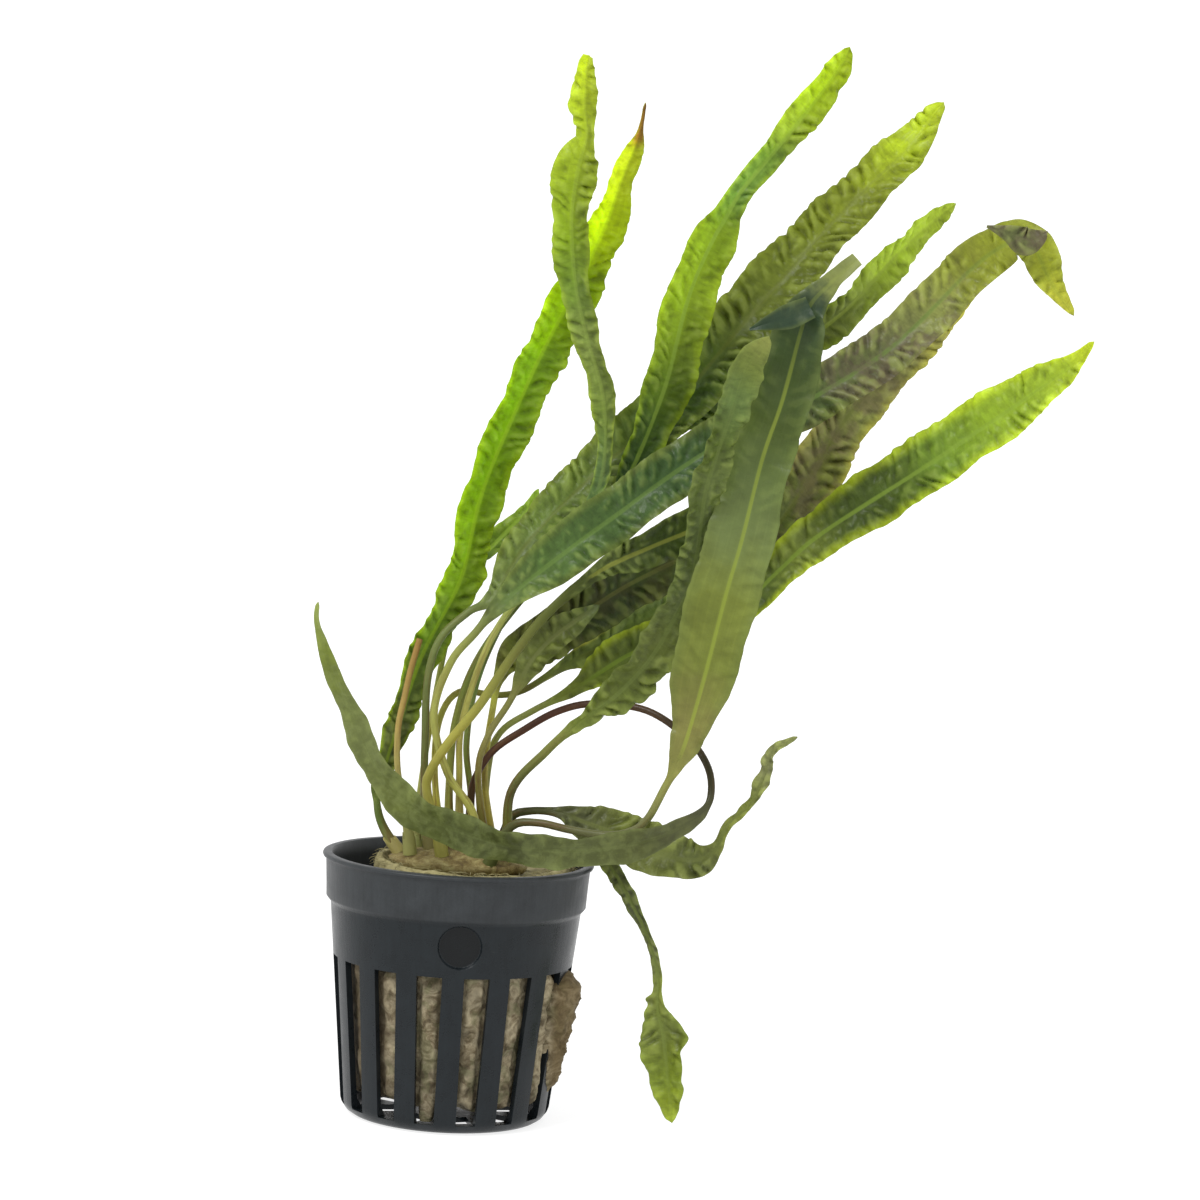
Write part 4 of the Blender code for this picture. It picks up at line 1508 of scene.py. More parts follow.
    def mesh(self) -> Mesh:
        """Spins the wall, opens the slots through it and presses the recess.

        Returns:
            The pot's mesh in millimetres.
        """
        mesh_tool = bmesh.new()
        corners = [mesh_tool.verts.new(turned(radius, self.slot_turn, height))
                   for radius, height in self.section()]
        edges = [mesh_tool.edges.new(pair) for pair in zip(corners, corners[1:])]
        bmesh.ops.spin(mesh_tool, geom=corners + edges, cent=(0, 0, 0), axis=(0, 0, 1), angle=math.tau,
                       steps=self.slot_count * self.steps_per_slot, use_merge=True)
        bmesh.ops.remove_doubles(mesh_tool, verts=mesh_tool.verts, dist=0.001)
        bmesh.ops.recalc_face_normals(mesh_tool, faces=mesh_tool.faces)
        openings = {}
        for face in mesh_tool.faces:
            kind = self.cut_kind(face.calc_center_median())
            if kind:
                openings.setdefault(kind, []).append(face)
        rims = []
        for faces in openings.values():
            inner = set(faces)
            rims.append([edge for face in faces for edge in face.edges
                         if sum(other in inner for other in edge.link_faces) == 1])
        for corner in mesh_tool.verts:
            corner.co = self.bend_to_slots(corner.co)
        doomed = [face for faces in openings.values() for face in faces]
        bmesh.ops.delete(mesh_tool, geom=doomed, context="FACES")
        for rim in rims:
            bmesh.ops.bridge_loops(mesh_tool, edges=rim)
        self.press_recess(mesh_tool)
        return mesh_tool

    def build(self) -> Piece:
        """Makes the pot and rounds its edges.

        Returns:
            The finished piece.
        """
        material = self.finish.material(self.recess_centre(), self.recess_radius)
        piece = finish_piece(self.mesh(), "net_pot_fine", material, "net_pot", self.sharp)
        rounding = piece.modifiers.new("rounded_edges", "BEVEL")
        rounding.width = self.bevel * MM
        rounding.segments = 2
        rounding.limit_method = "ANGLE"
        rounding.angle_limit = math.radians(50)
        rounding.use_clamp_overlap = True
        return piece


@dataclass(frozen=True)
class Fibre:
    """The loose fibres' sizes."""

    count: int = 320
    seed: int = 11
    corners: int = 6
    first_ring: float = 6.0
    last_ring: float = 7.8
    bend: float = 0.35
    shortest: float = 1.4
    longest: float = 3.6
    thinnest: float = 0.03
    thickest: float = 0.07
    lift: float = 0.45
    droop: float = 1.9
    closeness: float = 0.85


@dataclass
class WoolPlug:
    """The rock wool: a matted plug that fills the slots, the lump out of one slot and loose fibres.

    rings holds (height, radius, shift, swelling of the left flank) from the plug's foot over its
    shoulder to the middle of its top.
    """

    rings: tuple[tuple[float, ...], ...] = (
        (4.2, 11.5, 3.2, 2.4), (7.0, 14.6, 3.0, 6.0), (18.0, 16.2, 3.0, 5.6), (30.0, 17.8, 2.9, 5.1),
        (32.6, 18.0, 2.9, 0.0), (41.0, 18.9, 2.9, 0.0), (48.2, 19.2, 3.1, 0.0), (49.6, 17.4, 2.8, 0.0),
        (47.2, 15.2, 1.2, 0.0), (47.2, 6.0, 0.0, 0.0))
    top_level: float = 47.0
    depth_stretch: float = 1.13
    flank_turn: float = 263.0
    flank_spread: float = 38.0
    sides: int = 264
    rows: int = 190
    slot_turn: float = 14.0
    slot_sector: float = 22.5
    wall_foot: float = 18.8
    wall_level: float = 4.0
    wall_slope: float = 0.107
    side_turn: float = 59.0
    tail_turn: float = -8.5
    tail_drop: float = 2.0
    tail_rise: float = 2.2
    tail_foot: Span = (9.0, 4.5)
    slot_open: Span = (5.6, 3.4)
    tail_open: Span = (6.0, 3.0)
    side_open: Span = (11.0, 4.0)
    packed_foot: Span = (3.6, 6.2)
    packed_top: Span = (32.4, 29.6)
    packed_share: float = 0.92
    packed_wander: Ripple = Ripple(0.12, 0.1, 1.8, 6.0)
    wall_gap: float = 0.7
    least_gap: float = 0.15
    swell: float = 0.9
    most_swell: float = 1.25
    rough_share: float = 0.8
    upright_until: Span = (7.6, 6.2)
    roughness: tuple[Layer, ...] = ((0.16, 0.7, (0, 0, 0)), (0.4, 0.6, (5, 1, 2)),
                                    (1.0, 0.24, (2, 3, 9)), (2.3, 0.12, (1, 7, 3)))
    sunk: float = 0.2
    bulge_turn: float = 75.0
    bulge_low: float = 5.0
    bulge_high: float = 31.0
    bulge_inner: float = 17.0
    bulge_rows: int = 90
    bulge_corners: int = 48
    bulge_roughness: tuple[Layer, ...] = ((0.5, 0.7, (0, 0, 0)), (1.3, 0.42, (0, 0, 0)),
                                          (2.6, 0.22, (0, 0, 0)))
    bulge_reach: tuple[float, ...] = (20.6, 21.9, 22.7, 23.4, 24.0, 24.7, 25.3, 25.6, 24.0)
    bulge_width: tuple[float, ...] = (1.0, 2.2, 3.0, 3.6, 4.2, 4.6, 5.0, 4.7, 2.6)
    fibre: Fibre = Fibre()
    finish: WoolFinish = WoolFinish()

    def roughness_at(self, place: Vector) -> float:
        """The matted surface's height over its smooth form."""
        return layered(place, self.roughness) - self.sunk

    def smooth_spot(self, turn: float, place: float) -> Vector:
        """A point of the plug before its roughness.

        Args:
            turn: Degrees round the pot's axis.
            place: Which ring, and how far on to the next.

        Returns:
            The point.
        """
        height, radius, shift, swell = [smooth_value(keys, place) for keys in zip(*self.rings)]
        away = abs(off_middle(turn - self.flank_turn, 360.0)) / self.flank_spread
        fade = 0.5 + 0.5 * math.cos(math.pi * min(1.0, away))
        spot = turned(max(0.5, radius + swell * fade), turn, height)
        spot.y *= self.depth_stretch
        spot.x += shift
        return spot

    def packed(self, spot: Vector, rough: float) -> Vector:
        """Swells a point of the plug's side into the slots and keeps it off the ribs.

        Args:
            spot: The point.
            rough: How far it stands out by its roughness.

        Returns:
            The moved point.
        """
        away = math.hypot(spot.x, spot.y)
        turn = turn_of(spot)
        slot = ease(*self.slot_open, abs(off_middle(turn - self.slot_turn, self.slot_sector)))
        tail = ease(*self.tail_open, abs(off_middle(turn - self.tail_turn, 360.0)))
        side = slot * ease(*self.side_open, abs(off_middle(turn - self.side_turn, 360.0)))
        level = spot.z + self.packed_wander.at(turn, spot.z, 0.0) + self.tail_rise * tail
        inside = ease(*self.packed_foot, level) * ease(*self.packed_top, level)
        wall = self.wall_foot + self.wall_slope * (spot.z - self.wall_level)
        full = wall - self.wall_gap + self.swell * (slot + side) + self.rough_share * rough
        wanted = away + rough + (full - away - rough) * inside * self.packed_share
        wanted = min(wanted, wall - self.least_gap + self.most_swell * slot + self.swell * side)
        sunk = self.tail_drop * tail * ease(*self.tail_foot, spot.z)
        return Vector((spot.x * wanted / away, spot.y * wanted / away, spot.z - sunk))

    def plug_rings(self) -> Rings:
        """Finds the plug's cross-sections.

        Returns:
            The cross-sections from its foot to the middle of its top.
        """
        last = len(self.rings) - 1
        rings = []
        for row in range(self.rows + 1):
            place = last * row / self.rows
            upright = ease(*self.upright_until, place)
            ring = []
            for index in range(self.sides):
                turn = index * 360 / self.sides
                spot = self.smooth_spot(turn, place)
                rough = self.roughness_at(spot)
                flat = spot + turned(0.3 * rough, turn, rough)
                flat.z = max(flat.z, self.top_level)
                ring.append(self.packed(spot, rough) * upright + flat * (1 - upright))
            rings.append(ring)
        return rings

    def bulge_rings(self) -> Rings:
        """Finds the cross-sections of the lump that stands out of the right-hand slot.

        Returns:
            The cross-sections from its foot to its top.
        """
        rings = []
        for row in range(self.bulge_rows + 1):
            share = row / self.bulge_rows
            height = self.bulge_low + (self.bulge_high - self.bulge_low) * share
            reach = smooth_value(self.bulge_reach, share * (len(self.bulge_reach) - 1))
            width = smooth_value(self.bulge_width, share * (len(self.bulge_width) - 1))
            cap = math.sqrt(max(0.02, 1 - (2 * share - 1) ** 6))
            ring = []
            for index in range(self.bulge_corners):
                angle = index * math.tau / self.bulge_corners
                middle = (reach + self.bulge_inner) / 2
                radial = middle + (reach - self.bulge_inner) / 2 * cap * math.cos(angle)
                spot = turned(radial, self.bulge_turn, height)
                spot += turned(width * cap * math.sin(angle), self.bulge_turn + 90, 0.0)
                rough = layered(spot, self.bulge_roughness)
                outward = turned(math.cos(angle), self.bulge_turn, 0.0)
                outward += turned(math.sin(angle), self.bulge_turn + 90, 0.0)
                ring.append(spot + outward * rough * cap)
            rings.append(ring)
        return rings

    def add_fibres(self, mesh_tool: Mesh) -> None:
        """Adds fine loose fibres that lie on the plug's top and along its edge.

        Args:
            mesh_tool: The mesh being built.
        """
        chance = random.Random(self.fibre.seed)
        tuft = bmesh.new()
        for _ in range(self.fibre.count):
            turn = chance.uniform(0, 360)
            start = self.smooth_spot(turn, chance.uniform(self.fibre.first_ring, self.fibre.last_ring))
            self.add_fibre(tuft, start, chance)
        mesh = bpy.data.meshes.new("fibres")
        tuft.to_mesh(mesh)
        tuft.free()
        mesh_tool.from_mesh(mesh)
        bpy.data.meshes.remove(mesh)

    def add_fibre(self, mesh_tool: Mesh, start: Vector, chance: random.Random) -> None:
        """Adds one curved fibre that lies close to the surface.

        Args:
            mesh_tool: The mesh being built.
            start: The fibre's middle on the surface.
            chance: Where its random numbers come from.
        """
        fibre = self.fibre
        out = Vector((0, 0, 1))
        lean = Vector((chance.gauss(0, 1), chance.gauss(0, 1), chance.gauss(0, 1)))
        along = (lean - out * lean.dot(out) * fibre.closeness).normalized()
        bend = along.cross(out) * chance.uniform(-fibre.bend, fibre.bend)
        length = chance.uniform(fibre.shortest, fibre.longest)
        radius = chance.uniform(fibre.thinnest, fibre.thickest)
        last = fibre.corners - 1
        spots = []
        for index in range(fibre.corners):
            share = index / last - 0.5
            spots.append(start + along * share * length + bend * share * share * length
                         + out * (fibre.lift - fibre.droop * share * share))
        rings = []
        for index, spot in enumerate(spots):
            way = (spots[min(index + 1, last)] - spots[max(index - 1, 0)]).normalized()
            first = way.orthogonal().normalized()
            second = way.cross(first)
            rings.append([spot + (first * math.cos(angle) + second * math.sin(angle)) * radius
                          for angle in (0, math.tau / 3, 2 * math.tau / 3)])
        add_tube(mesh_tool, rings)

    def build(self) -> Piece:
        """Makes the plug with its lump and fibres.

        Returns:
            The finished piece.
        """
        mesh_tool = bmesh.new()
        add_tube(mesh_tool, self.plug_rings())
        add_tube(mesh_tool, self.bulge_rings())
        self.add_fibres(mesh_tool)
        return finish_piece(mesh_tool, "rock_wool_fine", self.finish.material(), "rock_wool")


PALE_FOOT = (0.0, 158, 150, 98)

# The upright leaves of the left half and the old stalk, with their points as in the solids.
UPRIGHT_LEAVES = (
    Leaf(
        "leaf_tall", Slot.BRIGHT, foot=(0.0, -1.8),
        stalk=((-1, 66), (-1, 77), (3.5, 93), (12, 107)),
        blade=((21.5, 121, 2.4), (23.3, 132, 3.2), (22, 143, 4.6), (18.6, 153, 4.8), (15.8, 163, 6),
               (14.2, 175, 6.8), (14.6, 184, 8), (15.3, 188.6, 7.4), (16.1, 192.7, 4, 10),
               (15.2, 199.4, 4.3, 8), (15.2, 205.2, 3.8, 5), (15.5, 208.2, 2)),
        depths=(-1.4, 1.2, 0.2, -11.5, -24),
        finish=LeafFinish(
            run=(PALE_FOOT, (0.1, 150, 144, 75), (0.25, 165, 165, 95), (0.45, 105, 133, 72),
                 (0.53, 98, 124, 68), (0.6, 124, 144, 62), (0.68, 142, 158, 82), (0.74, 128, 155, 58),
                 (0.8, 140, 166, 36), (0.88, 160, 180, 45), (0.95, 184, 202, 50), (1.0, 200, 218, 40)),
            margin=(180, 200, 60), rib=(160, 178, 90), shaded=0.3, rib_share=0.22),
        turn=28, stalk_width=1.3, blunt=True),
    Leaf(
        "leaf_amber_tip", Slot.BRIGHT, foot=(-11.3, 0.0),
        stalk=((-14.7, 54.6), (-16.3, 58.6)),
        blade=((-16.4, 63.5, 3), (-14, 73, 4.6), (-9.6, 89.4, 6), (-3.2, 104.5, 7), (0, 122, 7.7),
               (7.2, 143, 7.8), (11.4, 153.5, 8.4), (15.6, 162.6, 8), (20.2, 174.6, 6.8), (22.9, 184, 5),
               (25.2, 190.8, 3), (26.3, 195, 1), (26.9, 199.7, 0.6)),
        depths=(3, 5, 5, -1, -9),
        finish=LeafFinish(
            run=(PALE_FOOT, (0.25, 85, 100, 48), (0.5, 105, 118, 65), (0.54, 116, 126, 76),
                 (0.6, 120, 146, 60), (0.67, 142, 174, 38), (0.73, 134, 170, 28), (0.8, 144, 180, 44),
                 (0.86, 162, 192, 28), (0.91, 198, 220, 22), (0.965, 200, 212, 50), (0.982, 160, 115, 50),
                 (1.0, 122, 70, 34)),
            margin=(190, 215, 30), rib=(175, 200, 60), shaded=0.38, glow=0.5, gain=1.15, rib_share=0.4),
        turn=-35, stalk_width=1.4),
    Leaf(
        "leaf_bright_top", Slot.BRIGHT, foot=(-1.9, 1.8),
        stalk=((-2.8, 63.4), (-2.3, 77), (1.7, 90), (12.3, 106), (23, 119.5)),
        blade=((26.7, 124, 4), (30, 132, 6.5), (34, 145, 9.6), (37.3, 162, 9.6), (40.9, 172.6, 8.6),
               (43.9, 178.8, 6, 12), (46.4, 183.6, 4.6, 22), (50.2, 189, 5, 14), (55, 195.6, 5.8, 6),
               (60.3, 203.6, 6.3), (63.6, 208.8, 4.8), (65.5, 213, 1)),
        depths=(2, 4.6, 8.4, 12.5, 18),
        finish=LeafFinish(
            run=((0.0, 150, 150, 80), (0.2, 110, 120, 60), (0.45, 70, 92, 42), (0.52, 60, 86, 38),
                 (0.58, 80, 106, 36), (0.65, 123, 146, 38), (0.71, 153, 178, 44), (0.77, 140, 166, 38),
                 (0.82, 116, 150, 62), (0.86, 126, 158, 60), (0.895, 150, 172, 56), (0.95, 172, 196, 34),
                 (1.0, 162, 182, 36)),
            margin=(182, 205, 46), rib=(150, 176, 75), shaded=0.3, gain=1.22, stalk_gain=1.1),
        turn=-26, ruffle=Ruffle(height=0.6)),
    Leaf(
        "leaf_olive_ruffled", Slot.OLIVE, foot=(-5.6, -1.0),
        stalk=((-7.4, 61), (-8, 73), (-8.2, 84.6), (-6.3, 92.5), (-1.3, 98)),
        blade=((3.4, 101.4, 3), (10, 113, 7.5), (22.8, 127.8, 9.6), (35.4, 140, 11.4), (49.8, 159.4, 12.2),
               (64.8, 179, 10), (77.8, 193.8, 8), (82.6, 201, 3.6), (84.3, 203.3, 0.8)),
        depths=(-1, 6.5, 15, 21, 31),
        finish=LeafFinish(
            run=(PALE_FOOT, (0.15, 114, 122, 68), (0.5, 124, 138, 82), (0.57, 112, 132, 62),
                 (0.64, 105, 122, 58), (0.71, 86, 112, 46), (0.78, 100, 112, 42), (0.85, 118, 130, 44),
                 (0.91, 136, 148, 46), (0.955, 178, 196, 50), (1.0, 184, 200, 52)),
            margin=(140, 152, 50), rib=(112, 120, 52), shaded=0.2, rib_share=0.45, gain=1.02,
            stalk_gain=1.0),
        turn=26, ruffle=Ruffle(height=0.65)),
    Leaf(
        "leaf_slim_back", Slot.BRIGHT, foot=(1.5, 5.0),
        stalk=((1.5, 61.7), (0, 73), (1.9, 87), (8.6, 103), (17.4, 117.5), (26.5, 128)),
        blade=((35.8, 136.7, 4), (52.2, 149, 6), (67, 161, 6.3), (77.7, 174, 6), (85, 181.5, 3),
               (87.8, 183.7, 0.8)),
        depths=(7.5, 14, 23, 31, 42),
        finish=LeafFinish(
            run=((0.0, 150, 150, 85), (0.2, 102, 125, 68), (0.45, 58, 82, 34), (0.55, 62, 86, 34),
                 (0.67, 98, 110, 46), (0.78, 114, 127, 60), (0.9, 176, 198, 68), (1.0, 165, 182, 62)),
            margin=(165, 185, 60), rib=(150, 165, 75), shaded=0.2, gain=1.14, stalk_gain=1.1),
        turn=-36, stalk_width=1.3, ruffle=Ruffle(height=0.6)),
    Leaf(
        "leaf_folded_tip", Slot.DARK, foot=(3.6, -4.6),
        stalk=((1.8, 59.3), (-3.4, 66.6), (-6.6, 77.8), (-4, 88), (0.3, 94)),
        blade=((4.1, 99, 3), (9.9, 104.7, 7), (16.5, 110.6, 9.5), (25.3, 118, 10), (42.3, 131.8, 10),
               (62, 143.6, 9.8), (77.8, 155.4, 9.8), (91, 170.4, 9.2), (97, 175.7, 8), (100.6, 177.4, 7.2),
               (103.6, 175.5, 6.8), (105.7, 171.6, 6), (108.3, 167.4, 4), (111.8, 163.2, 0.8)),
        depths=(-5.5, -4.5, -2.5, 2, -5),
        finish=LeafFinish(
            run=((0.0, 145, 140, 72), (0.12, 176, 176, 98), (0.4, 140, 145, 78), (0.5, 102, 117, 64),
                 (0.55, 88, 114, 56), (0.6, 78, 103, 52), (0.66, 66, 92, 48), (0.71, 74, 94, 48),
                 (0.77, 86, 100, 54), (0.82, 112, 116, 74), (0.86, 140, 146, 80), (0.9, 138, 146, 48),
                 (0.94, 148, 155, 58), (0.97, 158, 166, 54), (1.0, 184, 184, 68)),
            margin=(150, 155, 70), rib=(115, 142, 70), margin_share=0.3, blotch=(104, 92, 76),
            blotch_share=0.75, blotch_from=0.76, blotch_to=0.88, gain=1.06, stalk_gain=1.15),
        turn=16, ruffle=Ruffle(height=0.5),
        flaps=(Flap(
            points=((94, 179.6, 0.5), (98, 178.5, 3), (101.5, 177.2, 5.6), (104, 178, 3.6),
                    (105.8, 179.4, 0.6)),
            depths=(-6.2, -6.2, -6.6), turn=8, run=0.81),)),
    Leaf(
        "leaf_yellow_stalk", Slot.OLIVE, foot=(-3.0, -5.6),
        stalk=((-7, 62.3), (-6.4, 67), (-3.2, 72.7), (2, 80), (8.2, 90.6), (13.9, 98.6)),
        blade=((20.6, 105.4, 2.6), (26, 109.3, 4.4), (33.4, 113.2, 7.6), (41.8, 117.4, 8.8), (50, 123, 8),
               (58, 130, 1)),
        depths=(-9, -9, -10, -12),
        finish=LeafFinish(
            run=((0.0, 164, 160, 86), (0.2, 166, 163, 80), (0.36, 110, 115, 56), (0.47, 82, 92, 38),
                 (0.55, 97, 111, 55), (0.68, 75, 92, 40), (0.82, 84, 102, 40), (1.0, 84, 100, 38)),
            margin=(120, 135, 60), rib=(150, 155, 70), rib_share=0.7, gain=0.85, stalk_brown=0.3),
        turn=-18, stalk_width=1.8),
    Leaf(
        "leaf_small_bright", Slot.BRIGHT, foot=(-8.4, 3.4),
        stalk=((-8.4, 62), (-6.6, 80.7), (-4.2, 97)),
        blade=((-1.2, 106.6, 2.2), (2.4, 110.7, 3.5), (6, 115, 3.7), (9.6, 119.4, 2.5), (10.9, 123, 0.8)),
        depths=(7, 10, 14),
        finish=LeafFinish(
            run=((0.0, 145, 150, 94), (0.2, 158, 158, 85), (0.42, 98, 120, 55), (0.6, 90, 116, 34),
                 (0.85, 126, 152, 46), (1.0, 150, 180, 60)),
            margin=(150, 180, 50), rib=(165, 190, 80)),
        turn=30, stalk_width=1.2),
    Leaf(
        "old_stalk", Slot.OLD_STALK, foot=(-9.2, -3.2),
        stalk=((-11.6, 60.8), (-13, 67.2), (-13.3, 74.8), (-12.4, 81), (-11.6, 86), (-10.2, 92.3)),
        blade=(),
        depths=(-3.5, -1, 1),
        finish=LeafFinish(
            run=((0.0, 138, 138, 82), (0.12, 150, 150, 86), (0.3, 148, 128, 70), (0.5, 134, 104, 54)),
            margin=(150, 100, 50), rib=(150, 100, 50), glow=0.1, roughness=0.6, stalk_gain=1.18),
        stalk_width=1.2),
)

